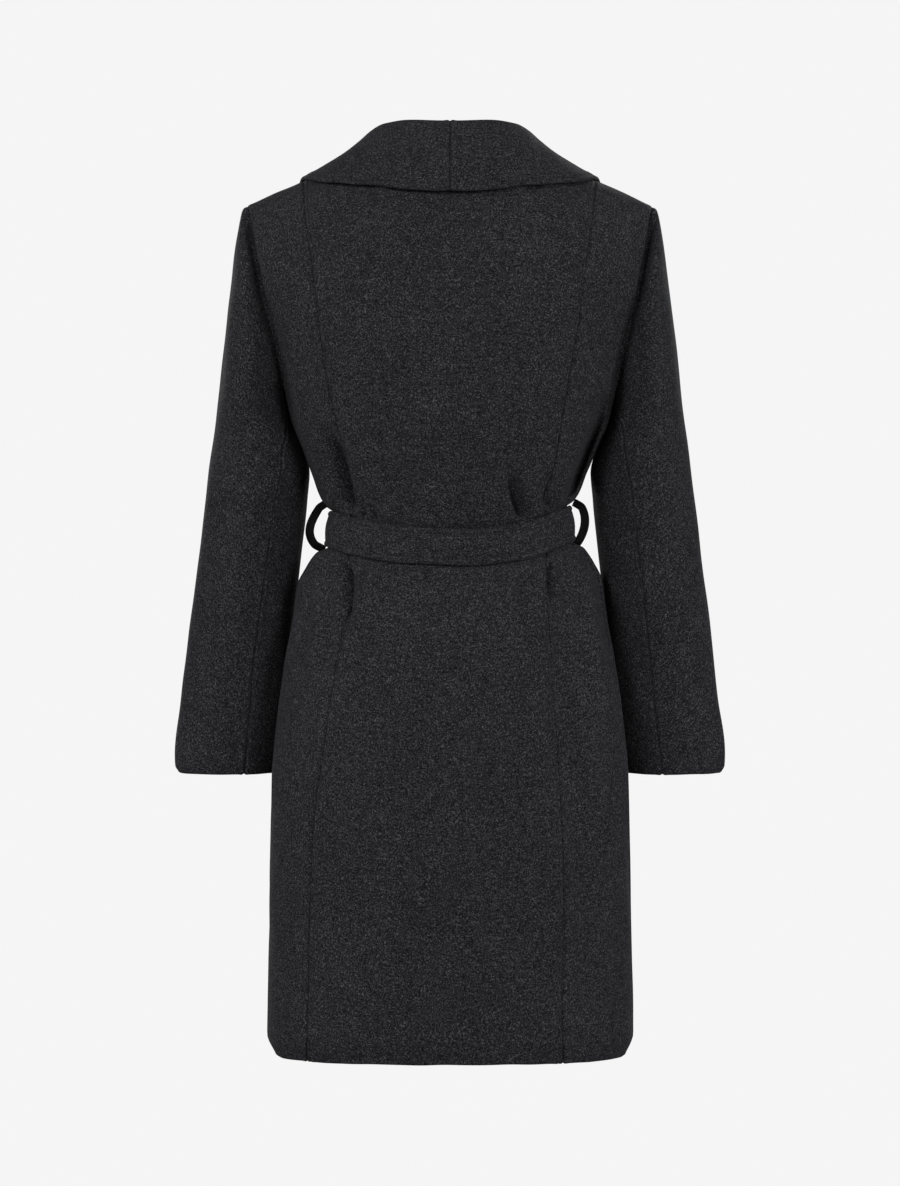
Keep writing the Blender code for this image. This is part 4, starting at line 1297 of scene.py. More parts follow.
@dataclass
class Body:
    """Centre back, side backs and the two fronts that wrap over each other."""

    center_columns: int = 20
    neck_step: float = 2.25
    side_columns: int = 38
    front_columns: int = 92
    ring_step: int = 3
    lower_rows: tuple[tuple[float, float, int], ...] = (
        (-0.235, -0.355, 30),
        (-0.355, -0.381, 15),
        (-0.381, -0.415, 9),
        (-0.415, -0.455, 20),
        (-0.455, -0.885, 84),
        (-0.885, -0.893, 5),
        (-0.893, -0.918, 5),
        (-0.918, HEM, 5),
    )
    stitches_start: float = 0.004
    center_cut: Cut = Cut(0.315, 1.0, 0.254)
    side_cut: Cut = Cut(0.135, 0.96, 0.092)
    under_cut: Cut = Cut(0.36, 0.97, 0.246)
    over_cut: Cut = Cut(0.36, 0.97, 0.274)

    def __post_init__(self) -> None:
        """Lays out the levels that carry a row of points, closest where the cloth bends."""
        ring = COAT.ring_height(np.arange(0, 180, self.ring_step))
        self.levels = np.concatenate([ring, runs(*self.lower_rows), [HEM]])

    def beside(self, first: Array, last: Array) -> tuple[Array, Array]:
        """Angles of the close columns inside a panel's first and last edge.

        Args:
            first: The angle of the first edge at each level.
            last: The angle of the last edge at each level.

        Returns:
            Both groups, each with a row of angles for each level.
        """
        start = first[:, None] + NEAR / COAT.per_degree(first, self.levels)[:, None]
        stop = last[:, None] - NEAR[::-1] / COAT.per_degree(last, self.levels)[:, None]
        return start, stop

    def grid(self, first: Array, columns: int, last: Array) -> Array:
        """Angles of a panel's columns: close beside both edges and even between them."""
        start, stop = self.beside(first, last)
        return filled(start, columns, stop)

    def half_center(self, seam: Array, side: Side) -> Array:
        """Angles of the centre back's columns: even round the neck, then even out to a seam.

        Args:
            seam: The angle of the princess seam at each level.
            side: The seam's side.

        Returns:
            A row of angles for each level, from the middle outwards.
        """
        close = seam - side.value * NEAR[-1] / COAT.per_degree(seam, self.levels)
        end = COAT.point(close, self.levels)[:, 0]
        neck = COAT.neck_half * np.sin(np.radians(np.arange(0, 91, self.neck_step)))
        neck = neck / (side.value * end[0])
        shares = np.concatenate([neck, np.linspace(neck[-1], 1, self.center_columns)[1:-1]])
        return COAT.angle_at(end[:, None] * shares, self.levels[:, None])

    def outer_edge(self, side: Side, front: bool) -> Array:
        """The angle where front and side back end: the armhole, and the side seam below it.

        Args:
            side: The side of the wearer.
            front: Whether it is a front.

        Returns:
            The angle at each level, without its side's sign.
        """
        short = COAT.armhole_front if front else COAT.armhole_back
        armhole = COAT.armhole_angle(self.levels, short)
        seam = (SIDE_LEFT if side is Side.LEFT else SIDE_RIGHT)(self.levels)
        return np.where(self.levels > COAT.underarm, 180 - armhole if front else armhole, seam)

    def back(self) -> None:
        """Centre back between the princess seams, and a side back beside each of them."""
        levels = self.levels
        left = COAT.angle_at(PRINCESS_LEFT(levels), levels)
        right = COAT.angle_at(-PRINCESS_RIGHT(levels), levels)
        start, stop = self.beside(right, left)
        inner_right = self.half_center(right, Side.RIGHT)[:, :0:-1]
        angles = np.hstack([start, inner_right, self.half_center(left, Side.LEFT), stop])
        center = Panel("back_center", angles, levels, 0.0, stitched=(0, -1))
        piece = center.build()
        rows = [center.line(column, slice(2, None)) for column in (CHANNEL, -1 - CHANNEL)]
        stitches = STITCHES.build("princess_stitches", rows)

        for side, begin in ((Side.LEFT, 0.53), (Side.RIGHT, 0.91)):
            outside = self.outer_edge(side, False)
            ends, armhole = ((left, outside), -1) if side is Side.LEFT else ((-outside, right), 0)
            angles = self.grid(ends[0], self.side_columns, ends[1])
            piece = Panel("back_side_" + side.word, angles, levels, begin, armhole=armhole).build()

    def fronts(self) -> None:
        """The left front, worn under, and the right front, worn over, with stitched edges."""
        levels = self.levels
        edge = COAT.angle_at(FRONT_EDGE(levels), levels, front=True)
        rows, pieces = [], []
        for side, begin in ((Side.LEFT, 1.37), (Side.RIGHT, 1.93)):
            under = side is Side.LEFT
            outside = self.outer_edge(side, True)
            ends = (outside, edge) if under else (-edge, -outside)
            sewn, free = (0, -1) if under else (-1, 0)
            angles = self.grid(ends[0], self.front_columns, ends[1])
            node = "front_" + side.word
            made = Panel(node, angles, levels, begin, (sewn,), (free,), sewn, True, under)
            pieces.append(made.build())
            column = -1 - CHANNEL if under else CHANNEL
            rows.append(made.line(column, levels < BREAK - self.stitches_start))
        stitches = STITCHES.build("front_edge_stitches", rows)

    def build(self) -> None:
        """Builds the five panels of the body."""
        self.back()
        self.fronts()


# ---- sleeves ----


class SleeveCrease(NamedTuple):
    """A soft trough in a sleeve, from one place on it to another.

    A place is an angle round the sleeve (0 outside, 90 behind, 180 inside) and a share of its
    length.
    """

    around_top: float
    top: float
    around_bottom: float
    bottom: float
    depth: float
    width: float


SLEEVE_CREASES = {
    Side.LEFT: [
        SleeveCrease(*row)
        for row in [
            (150, 0.30, 95, 0.52, 0.003, 0.011),
            (160, 0.44, 110, 0.56, 0.0026, 0.009),
            (70, 0.10, 60, 0.32, 0.0018, 0.013),
            (110, 0.04, 120, 0.20, 0.0022, 0.010),
            (40, 0.50, 70, 0.78, 0.0016, 0.016),
            (20, 0.22, 45, 0.46, 0.0014, 0.018),
            (125, 0.62, 150, 0.90, 0.002, 0.014),
            (230, 0.30, 262, 0.52, 0.003, 0.011),
            (225, 0.46, 250, 0.58, 0.0024, 0.010),
            (300, 0.12, 290, 0.40, 0.0018, 0.016),
        ]
    ],
    Side.RIGHT: [
        SleeveCrease(*row)
        for row in [
            (152, 0.34, 100, 0.50, 0.0028, 0.010),
            (158, 0.46, 105, 0.62, 0.0024, 0.010),
            (62, 0.12, 72, 0.36, 0.002, 0.012),
            (112, 0.04, 118, 0.24, 0.0022, 0.010),
            (30, 0.40, 60, 0.66, 0.0018, 0.015),
            (75, 0.66, 60, 0.92, 0.0014, 0.016),
            (128, 0.60, 145, 0.86, 0.002, 0.013),
            (232, 0.34, 265, 0.50, 0.0028, 0.011),
            (228, 0.48, 255, 0.64, 0.0024, 0.010),
            (296, 0.16, 288, 0.44, 0.0018, 0.016),
        ]
    ],
}


@dataclass
class Sleeves:
    """Two-piece sleeves, set into the armholes, that hang a little forward down the arm."""

    length: float = 0.59
    cuff: float = -0.634
    seam_gap: float = 0.0001
    seam_roll: float = 0.007
    cap: float = 0.06
    cap_more: float = 0.04
    front_seam: float = 234.0
    girth: float = 0.30
    crease_fade: float = 0.45
    wraps_below: float = -40.0
    cuff_fold: float = 0.0018
    cuff_depth: float = 0.040
    cuff_edge: float = 0.003
    rows_start: float = 0.0095
    arm_rows: int = 122
    cuff_close: float = 0.012
    cuff_rows: int = 7
    top_columns: int = 40
    under_columns: int = 20
    top_cut: Cut = Cut(0.24, 0.61, 0.119)
    under_cut: Cut = Cut(0.13, 0.52, 0.055)
    turn_step: float = 0.4
    along_step: float = 0.0004
    least_per_degree: float = 0.0005

    def point(self, around: Array, along: Array) -> Array:
        """A point of the left sleeve's smooth form.

        The cloth leaves the armhole in the body's own surface, rolls over, and blends into the
        arm's oval sections, which run down to a level cuff. It blends more slowly behind.

        Args:
            around: The angle round the sleeve.
            along: The share of its length.

        Returns:
            The points.
        """
        edge, normal = COAT.armhole(around)
        ahead = COAT.armhole(around + self.turn_step)[0]
        behind = COAT.armhole(around - self.turn_step)[0]
        beyond = unit(np.cross(ahead - behind, normal))
        rolled = self.seam_roll * (1 - np.exp(-self.length * along / self.seam_roll))
        begin = edge + beyond * (self.seam_gap + rolled)[..., None]
        z = edge[..., 2] * (1 - along) + self.cuff * along
        outer, inner = SLEEVE_OUTER(z), SLEEVE_INNER(z)
        turn = np.radians(around)
        x = (outer + inner) / 2 + (outer - inner) / 2 * np.cos(turn)
        y = SLEEVE_MIDDLE(z) + SLEEVE_DEPTH(z) * np.sin(turn)
        cap = self.cap + self.cap_more * np.maximum(np.sin(turn), 0) ** 2
        blend = smooth_step(along / cap)[..., None]
        return begin * (1 - blend) + stacked(x, y, z) * blend

    def normal(self, around: Array, along: Array) -> Array:
        """The outward direction, from small steps round and along the sleeve.

        Args:
            around: The angle round the sleeve.
            along: The share of its length.

        Returns:
            A vector of length 1 for each place.
        """
        turn, step = self.turn_step, self.along_step
        along = np.clip(along, step, 1 - step)
        across = self.point(around + turn, along) - self.point(around - turn, along)
        down = self.point(around, along + step) - self.point(around, along - step)
        return unit(np.cross(down, across))

    def per_degree(self, around: Array, along: Array) -> Array:
        """How far the sleeve's form runs for one degree round it, held above a least length."""
        ahead, behind = self.point(around + 0.5, along), self.point(around - 0.5, along)
        return np.maximum(length_of(ahead - behind), self.least_per_degree)

    def creased(self, around: Array, along: Array, side: Side) -> Array:
        """How far the creases pull the sleeve in: a bell curve across a line, fading at its ends.

        Args:
            around: The angle round the sleeve.
            along: The share of its length.
            side: The sleeve's side.

        Returns:
            The depth at each place.
        """
        depth = np.zeros(around.shape)
        size = np.array([self.girth, self.length])
        place = np.stack([around / 360, along], axis=-1) * size
        for crease in SLEEVE_CREASES[side]:
            start = np.array([crease.around_top / 360, crease.top]) * size
            way = np.array([crease.around_bottom / 360, crease.bottom]) * size - start
            share = ((place - start) @ way) / (way @ way)
            off = length_of(place - start - np.clip(share, 0, 1)[..., None] * way)
            ends = smooth_step(share / self.crease_fade)
            ends = ends * smooth_step((1 - share) / self.crease_fade)
            depth += crease.depth * hump(off, crease.width) * ends
        return depth

    def half(
        self, node: str, seams: tuple[Curve, Curve], columns: int, side: Side, start: float
    ) -> bpy.types.Object:
        """Top or under sleeve, between its two seams.

        Args:
            node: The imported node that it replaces.
            seams: The angle of its two seams along the sleeve.
            columns: Its columns between those beside the seams.
            side: The sleeve's side.
            start: Where its pattern starts.

        Returns:
            The dressed piece.
        """
        arm = self.length - self.cuff_close
        down = runs((self.rows_start, arm, self.arm_rows), (arm, self.length, self.cuff_rows))
        rows = np.concatenate([NEAR, down, [self.length]])
        along = rows / self.length
        first, last = (seam(along) for seam in seams)
        begin = first[:, None] + NEAR / self.per_degree(first, along)[:, None]
        end = last[:, None] - NEAR[::-1] / self.per_degree(last, along)[:, None]
        around = filled(begin, columns, end)
        across = np.broadcast_to(along[:, None], around.shape)
        smooth, out = self.point(around, across), self.normal(around, across)
        sunk = COAT.sunk(around, length_of(smooth - smooth[:1]), True)
        smooth[..., 1] -= sunk * np.sign(np.sin(np.radians(around)))
        wrapped = np.where(around < self.wraps_below, around + 360, around)
        relief = ripple(smooth * side.mirror) - self.creased(wrapped, across, side)
        kept = SEAM.kept(COAT.ring_height(around))
        relief += SEAM.rolled(length_of(smooth - smooth[:1])) * kept
        for column in (0, -1):
            relief += SEAM.rolled(length_of(smooth - smooth[:, column][:, None]))
        fold = smooth_step((rows - self.length + self.cuff_depth) / self.cuff_edge)[:, None]
        inner = (smooth - out * (WALL + self.cuff_fold * fold)[..., None]) * side.mirror
        outer = (smooth + out * relief[..., None]) * side.mirror
        piece = shell(node + "_cloth", outer, inner, Rim(bottom=1), start)
        return dress(piece, CHARCOAL, node)

    def build(self) -> None:
        """Builds both sleeves; the top sleeve reaches from the front seam over to the back one."""
        front = Curve([(0.0, self.front_seam), (1.0, self.front_seam)])
        front_before = Curve([(0.0, self.front_seam - 360), (1.0, self.front_seam - 360)])
        for side, column, start in ((Side.LEFT, 1, 2.41), (Side.RIGHT, 2, 3.07)):
            back = Curve(BACK_SEAM, column)
            node = "sleeve_top_" + side.word
            top = self.half(node, (front_before, back), self.top_columns, side, start)
            node = "sleeve_under_" + side.word
            under = self.half(node, (back, front), self.under_columns, side, start + 0.31)


# ---- collar ----


@dataclass
class ShawlCollar:
    """A shawl collar in two halves, sewn at the centre back, that stands and turns down."""

    neck_seam: float = 0.1087
    turns_over: float = 0.10
    roll: float = 0.0009
    roll_steps: int = 9
    thick: float = 0.004
    base_depth: float = 0.0015
    stand_shares: tuple[float, ...] = (0.04, 0.35, 0.65, 0.88)
    fall_power: float = 1.45
    fall_start: float = 0.05
    fall_rows: int = 23
    step: float = 0.002
    share_step: float = 0.02
    ridge: float = 0.016
    edge_round: float = 0.0018
    edge_inset: float = 0.00036
    close_width: float = 0.022
    direction_passes: int = 5
    face_passes: int = 3
    columns_start: float = 0.0105
    columns: int = 104
    ripple_size: float = 0.0003
    calm_by_seam: float = 0.004
    stitches_start: int = 4
    cut: Cut = Cut(0.15, 0.50, 0.059)

    def seam(self, along: Array) -> tuple[Array, Array]:
        """The seam line of the left half: round the back neck, then down the roll line.

        Args:
            along: The distance along it.

        Returns:
            The distance from the middle, and the level: 0 round the neck, negative in front.
        """
        around = np.clip(along / self.neck_seam, 0, 1) * math.pi / 2
        level = -np.maximum(along - self.neck_seam, 0)
        return np.where(level < 0, FRONT_EDGE(level), COAT.neck_half * np.sin(around)), level

    def over_coat(self, x: Array, level: Array, under: bool) -> tuple[Array, Array]:
        """Point and outward direction of the coat under the collar.

        The direction turns smoothly where the collar crosses the shoulder ridge.

        Args:
            x: The distance from the middle.
            level: The level on the back above 0, and on the front below 0.
            under: Whether it is sewn to the left front.

        Returns:
            The points and directions.
        """
        height = -np.abs(level)
        before, behind = COAT.angle_at(x, height, front=True), COAT.angle_at(x, height)
        share = smooth_step((self.ridge - level) / (2 * self.ridge))[..., None]
        turned = COAT.normal(before, height, under) * share
        turned = turned + COAT.normal(behind, height, under) * (1 - share)
        return COAT.point(np.where(level < 0, before, behind), height, under), unit(turned)

    def frame(self, along: Array, under: bool) -> tuple[Array, Array, Array]:
        """Seam point, stand direction, and the way out of the panel's edge, at each place.

        The stand is upright round the neck and turns into the coat's own outward direction
        below it.

        Args:
            along: The distance along the seam.
            under: Whether it is sewn to the left front.

        Returns:
            The three vectors.
        """
        seam, surface = self.over_coat(*self.seam(along), under)
        turned = smooth_step((along - self.neck_seam) / self.turns_over)[..., None]
        normal = unit(np.array([0, 0, 1]) * (1 - turned) + surface * turned)
        ahead = self.over_coat(*self.seam(along + self.step), under)[0]
        behind = self.over_coat(*self.seam(np.maximum(along - self.step, 0)), under)[0]
        return seam, normal, unit(np.cross(ahead - behind, normal))

    def fall(self, along: Array, share: Array, under: bool) -> Array:
        """A point of the fall's inner face.

        The base runs straight over the coat from the seam to the outer edge. The stand's height
        is added to it, times a power of the share that is left.

        Args:
            along: The distance along the seam.
            share: 0 at the roll, 1 at the outer edge.
            under: Whether it lies on the left front.

        Returns:
            The points.
        """
        seam_x, seam_level = self.seam(along)
        x = seam_x + (EDGE_X(along) - seam_x) * share
        level = seam_level + (EDGE_LEVEL(along) - seam_level) * share
        base, normal = self.over_coat(x, level, under)
        upright, way_out = self.frame(along, under)[1:]
        height = np.maximum(1 - share, 0) ** self.fall_power
        rising = unit(upright * (1 - share)[..., None] + normal * share[..., None])
        stand = rising * STAND(along)[..., None] - way_out * LEAN(along)[..., None]
        return base + normal * CLEAR(along)[..., None] + stand * height[..., None]

    def profile(self, along: Array, under: bool) -> tuple[Array, Array, int]:
        """Both faces of the collar at each place along its seam: base, stand, roll and fall.

        The inner face touches itself when the collar is turned down; the thickness lies outside
        it. The roll is a part of a circle round the top of the stand.

        Args:
            along: The distances along the seam.
            under: Whether it is sewn to the left front.

        Returns:
            The inner and outer grids, and the row under the stitches at the outer edge.
        """
        seam, normal, way_out = self.frame(along, under)
        stand = normal * STAND(along)[:, None] - way_out * LEAN(along)[:, None]
        up = unit(stand)
        out = unit(way_out - up * (way_out * up).sum(-1, keepdims=True))
        ones = np.ones_like(along)
        start = self.fall(along, 0 * ones, under)
        heading = unit(self.fall(along, 2 * self.share_step * ones, under) - start)
        end_turn = np.arctan2(-(heading * out).sum(-1), (heading * up).sum(-1)) % (2 * math.pi)
        rolled = seam + out * self.roll
        inner = [rolled - up * self.base_depth]
        inner += [rolled + stand * share for share in self.stand_shares]
        outer = [point + out * self.thick for point in inner]
        for share in np.linspace(0, 1, self.roll_steps):
            turn = (end_turn * share)[:, None]
            ray = out * np.cos(turn) + up * np.sin(turn)
            inner.append(seam + stand + ray * self.roll)
            outer.append(seam + stand + ray * (self.roll + self.thick))
        far = self.fall(along, ones, under)
        width = length_of(far - start)
        squeezed = np.minimum(1, width[:, None] / self.close_width)
        close = (NEAR[:0:-1] + self.edge_round) * squeezed
        last = np.hstack([close, np.full((len(along), 1), self.edge_inset)])
        last = 1 - last / width[:, None]
        first = np.linspace(self.fall_start, 1, self.fall_rows + 1)[:-1] * last[:, :1]
        shares = np.hstack([first, last]).T
        place = np.broadcast_to(along, shares.shape)
        middle = np.maximum(place, self.step)
        point = self.fall(place, shares, under)
        side = self.fall(middle + self.step, shares, under)
        side = side - self.fall(middle - self.step, shares, under)
        down = self.fall(place, shares - self.share_step, under) - point
        away = unit(evened(unit(np.cross(down, side)), self.direction_passes))
        row = len(inner) + len(shares) - 1 - CHANNEL
        inner = np.concatenate([np.stack(inner), point])
        outer = np.concatenate([np.stack(outer), point + away * self.thick])
        return evened(inner, self.face_passes), evened(outer, self.face_passes), row

    def build(self) -> None:
        """Builds both halves, with a row of stitches near the outer edge of each."""
        length = self.neck_seam - BREAK
        down = runs((self.columns_start, length, self.columns))
        along = np.concatenate([NEAR, down, [length]])
        rows, pieces = [], []
        for side, start in ((Side.LEFT, 4.5), (Side.RIGHT, 4.1)):
            inner, outer, row = self.profile(along, side is Side.LEFT)
            # The halves meet in the middle plane.
            inner[:, 0, 0] = outer[:, 0, 0] = 0
            out = unit(outer - inner)
            from_seam = length_of(outer - outer[:, :1])
            relief = SEAM.rolled(from_seam) + ripple(outer, self.ripple_size)
            stitched = SEAM.sewn(length_of(outer - outer[-1:]))
            relief += stitched * smooth_step(from_seam / self.calm_by_seam)
            outer = (outer + out * relief[..., None]) * side.mirror
            node = "collar_" + side.word
            rim = Rim(bottom=1, last=1)
            piece = shell(node + "_cloth", outer, inner * side.mirror, rim, start, steps=6)
            pieces.append(dress(piece, CHARCOAL, node))
            sewn = slice(self.stitches_start, None)
            rows.append((outer[row, sewn], out[row, sewn] * side.mirror))
        stitches = STITCHES.build("collar_stitches", rows)


# ---- belt ----


class Tail(NamedTuple):
    """A hanging belt end: where it leaves the knot, where it hangs, its length and lift."""

    name: str
    top: float
    x_top: float
    x_bottom: float
    length: float
    lift: float
    sway: float


@dataclass
class Knot:
    """The belt's knot: a soft core, with the belt's end wrapped aslant over it."""

    half_width: float = 0.020
    half_height: float = 0.024
    depth: float = 0.021
    roundness: float = 0.6
    flattened: float = 0.86
    narrowed: float = 0.94
    waist: float = 0.10
    waist_reach: float = 0.008
    furrow: float = 0.0012
    furrow_pitch: float = 0.0105
    furrow_slant: float = 0.45
    furrow_fade: float = 0.004
    wrap_half: float = 0.0135
    wrap_thick: float = 0.003
    wrap_out: float = 0.01127
    wrap_up: float = 0.0215
    wrap_arch: float = 0.001176
    wrap_slant: float = 0.30
    wrap_aside: float = 0.001
    wrap_narrows: float = 0.22
    wrap_furrow: float = 0.00049
    wrap_furrow_phase: float = 9.0
    wrap_crown: float = 0.001
    wrap_crown_phase: float = 3.0
    wrap_turn: tuple[float, float] = (-88.0, 268.0)
    wrap_grid: tuple[int, int] = (120, 17)
    core_tilt: float = 89.9
    core_grid: tuple[int, int] = (61, 97)

    def core(self, centre: Array) -> bpy.types.Object:
        """A superellipsoid with slanting furrows in front and a slight waist.

        Args:
            centre: Its centre.

        Returns:
            The dressed piece.
        """
        rows, columns = self.core_grid
        around = np.radians(np.linspace(0, 360, columns))[None, :]
        tilt = np.radians(np.linspace(-self.core_tilt, self.core_tilt, rows))[:, None]
        girth = signed_power(np.cos(tilt), self.roundness)
        x = self.half_width * girth * signed_power(np.cos(around), self.roundness)
        y = self.depth / 2 * girth * signed_power(np.sin(around), self.roundness)
        z = self.half_height * signed_power(np.sin(tilt), self.roundness) + 0 * around
        phase = (z + x * self.furrow_slant) * 2 * math.pi / self.furrow_pitch
        furrow = np.where(y < 0, self.furrow * np.cos(phase) * girth, 0)
        y = y * self.flattened + furrow * smooth_step(np.abs(y) / self.furrow_fade)
        x = x * (self.narrowed - self.waist * hump(z, self.waist_reach))
        grid = stacked(x, y, z) + centre
        index = np.arange(rows * columns).reshape(rows, columns)
        index[:, -1] = index[:, 0]
        faces = [quads_of(index), index[0, :-1][None, ::-1], index[-1, :-1][None, :]]
        uv = flat_places(grid, 6.3)
        piece = add_mesh("belt_knot_core", grid.reshape(-1, 3), faces, uv)
        return dress(piece, CHARCOAL, "belt_knot")

    def wrap(self, centre: Array) -> bpy.types.Object:
        """A strip round an ellipse in the plane of Y and Z, sheared sideways as it climbs.

        It arches across its width and is narrower at its turns.

        Args:
            centre: The ellipse's centre.

        Returns:
            The dressed piece.
        """
        rows, columns = self.wrap_grid
        turn = np.radians(np.linspace(*self.wrap_turn, rows))[:, None]
        across = np.linspace(-1, 1, columns)[None, :]
        furrow = self.wrap_furrow * np.cos(across * self.wrap_furrow_phase)
        crown = self.wrap_crown * np.cos(across * self.wrap_crown_phase)
        y = (self.wrap_arch * across**2 - self.wrap_out - furrow) * np.cos(turn)
        z = (self.wrap_up + crown) * np.sin(turn)
        narrow = 1 - self.wrap_narrows * np.abs(np.sin(turn)) ** 3
        x = across * self.wrap_half * narrow + self.wrap_slant * z - self.wrap_aside
        outer = stacked(x, y, z)
        out = unit(np.cross(np.gradient(outer, axis=1), np.gradient(outer, axis=0)))
        out = out * np.sign((out * outer * (0, 1, 1)).sum(-1, keepdims=True))
        inner = outer - out * self.wrap_thick
        rim = Rim(first=1, last=1)
        piece = shell("belt_knot_wrap", outer + centre, inner + centre, rim, 6.6)
        return dress(piece, CHARCOAL, "belt_knot")


@dataclass
class TieBelt:
    """A tie belt of doubled cloth: the band round the waist, its knot and two hanging ends."""

    top: float = -0.379
    bottom: float = -0.416
    gap: float = 0.0006
    thick: float = 0.0035
    least_swell: float = 0.0002
    edge_stitch: float = 0.0045
    channel: float = 0.0007
    channel_width: float = 0.0009
    ridge: float = 0.0005
    ridge_place: float = 0.0018
    swell: float = 0.0004
    swell_start: float = 0.006
    swell_over: float = 0.008
    edge_rows: tuple[float, ...] = (0, 0.0008, 0.0018, 0.003, 0.0037, 0.0045, 0.0053, 0.0062)
    stitch_row: int = 5
    edge_inset: float = 0.0015
    band_flat: tuple[float, float] = (0.037, 0.73)
    band_rows: tuple[float, ...] = (0.009, 0.013)
    band_columns: int = 361
    band_waves: tuple[tuple[float, float, float], ...] = ((0.0007, 5.0, 0.8), (0.0005, 11.0, 0.0))
    calm_by_knot: float = 30.0
    band_ripple: float = 0.00025
    tail_rows: int = 130
    tail_row: float = 0.010
    tail_width: float = 0.038
    tail_neck: float = 0.026
    sway_half_waves: float = 1.6
    tail_fold: float = 0.0012
    tail_fold_phase: float = 14.0
    widens_over: float = 0.06
    spreads_over: float = 0.12
    settles_over: float = 0.16
    knot: Knot = field(default_factory=Knot)
    tails: tuple[Tail, ...] = (
        Tail("belt_tail_left", -0.4238, 0.007, 0.036, 0.380, 0.003, 0.002),
        Tail("belt_tail_right", -0.4252, -0.007, -0.034, 0.345, 0.0084, -0.002),
    )

    @property
    def middle(self) -> float:
        """The level of the belt's middle line."""
        return (self.top + self.bottom) / 2

    def padding(self, from_edge: Array) -> Array:
        """How the doubled cloth swells between its stitches and sinks under them.

        Args:
            from_edge: The distance from the nearest edge.

        Returns:
            The height at each place.
        """
        ridge = self.ridge * hump(from_edge - self.ridge_place, self.ridge_place)
        channel = self.channel * hump(from_edge - self.edge_stitch, self.channel_width)
        full = smooth_step((from_edge - self.swell_start) / self.swell_over)
        return ridge - channel + self.swell * full + self.least_swell

    def stitches(self, name: str, outer: Array, out: Array) -> bpy.types.Object:
        """Rows of stitches along both long edges of a strip, given by its lengthwise lines."""
        ends = (self.stitch_row, -1 - self.stitch_row)
        return STITCHES.build(name, [(outer[end], out[end]) for end in ends])

    def band(self) -> None:
        """The band from one side of the knot round the back to the other, and the knot on it."""
        reach = np.array(self.knot.half_width - self.edge_inset)
        end = COAT.angle_at(reach, self.middle, front=True)
        angles = np.linspace(-end, end, self.band_columns)[None, :]
        width = self.top - self.bottom - 2 * self.edge_inset
        depths = np.array([*self.edge_rows, *self.band_rows])
        down = np.concatenate([depths, [width / 2], width - depths[::-1]])[:, None]
        turn = np.radians(angles)
        wave = sum(h * np.sin(turn * many + start) for h, many, start in self.band_waves)
        wave = wave * smooth_step((180 - np.abs(angles)) / self.calm_by_knot)
        levels = self.top - self.edge_inset - down + wave
        from_edge = np.minimum(down, width - down)
        angle = np.broadcast_to(angles, levels.shape)
        out = COAT.normal(angle, levels)
        smooth = COAT.point(angle, levels)
        swell = self.padding(from_edge) + ripple(smooth, self.band_ripple)
        outer = smooth + out * (self.gap + self.thick + swell)[..., None]
        inner = smooth + out * self.gap
        piece = shell("belt_band_cloth", outer, inner, Rim(top=1, bottom=1), 5.2, steps=6)
        dress(piece, CHARCOAL, "belt_band")
        stitches = self.stitches("belt_band_stitches", outer, out)
        front, level = np.array(180.0), np.array(self.middle)
        lifted = COAT.normal(front, level) * (self.gap + self.knot.depth / 2)
        centre = COAT.point(front, level) + lifted
        pieces = [stitches, self.knot.core(centre), self.knot.wrap(centre)]

    def tail(self, tail: Tail, start: float) -> None:
        """A belt end that hangs from the knot over the skirt, widening and swaying a little.

        Args:
            tail: Its sizes.
            start: Where its pattern starts.
        """
        drop = np.linspace(0, tail.length - self.edge_inset, self.tail_rows)[:, None]
        widened = smooth_step(drop / self.widens_over)
        spread = smooth_step(drop / self.spreads_over)
        settled = (drop - self.widens_over) / (self.settles_over - self.widens_over)
        lift = tail.lift * (1 - smooth_step(settled))
        narrow, wide = (w - 2 * self.edge_inset for w in (self.tail_neck, self.tail_width))
        sway = tail.sway * np.sin(drop / tail.length * math.pi * self.sway_half_waves) * spread
        middle = tail.x_top + (tail.x_bottom - tail.x_top) * spread + sway
        depths = np.array([*self.edge_rows, self.tail_row])
        place = np.concatenate([depths, wide - depths[::-1]]) / wide
        x = middle + (narrow + (wide - narrow) * widened) * (place - 0.5)
        level, x = np.broadcast_arrays(tail.top - drop, x)
        angle = COAT.angle_at(x, level, front=True)
        smooth, out = COAT.point(angle, level), COAT.normal(angle, level)
        from_edge = np.minimum(place, 1 - place) * wide + 0 * drop
        swell = self.padding(np.minimum(from_edge, tail.length - drop))
        fold = self.tail_fold * np.cos((place - 0.5) * self.tail_fold_phase) * (1 - widened)
        inner = smooth + out * (self.gap + lift)[..., None]
        outer = smooth + out * (self.gap + lift + self.thick + swell + fold)[..., None]
        rim = Rim(bottom=1, first=1, last=1)
        piece = shell(tail.name + "_cloth", outer, inner, rim, start, steps=6)
        dress(piece, CHARCOAL, tail.name)
        # The rows start below the knot and end above the tip.
        sewn = slice(6, -2)
        lines = (grid[sewn].swapaxes(0, 1) for grid in (outer, out))
        stitches = self.stitches(tail.name + "_stitches", *lines)

    def build(self) -> None:
        """Builds the band, the knot and the tails."""
        self.band()
        for number, tail in enumerate(self.tails):
            self.tail(tail, 7.1 + 0.4 * number)


class Loop(NamedTuple):
    """A belt carrier: its side, where it is sewn on, and how far and low it stands out."""

    side: Side
    angle: float
    seat: float
    bulge: float
    sag: float
    bottom: float


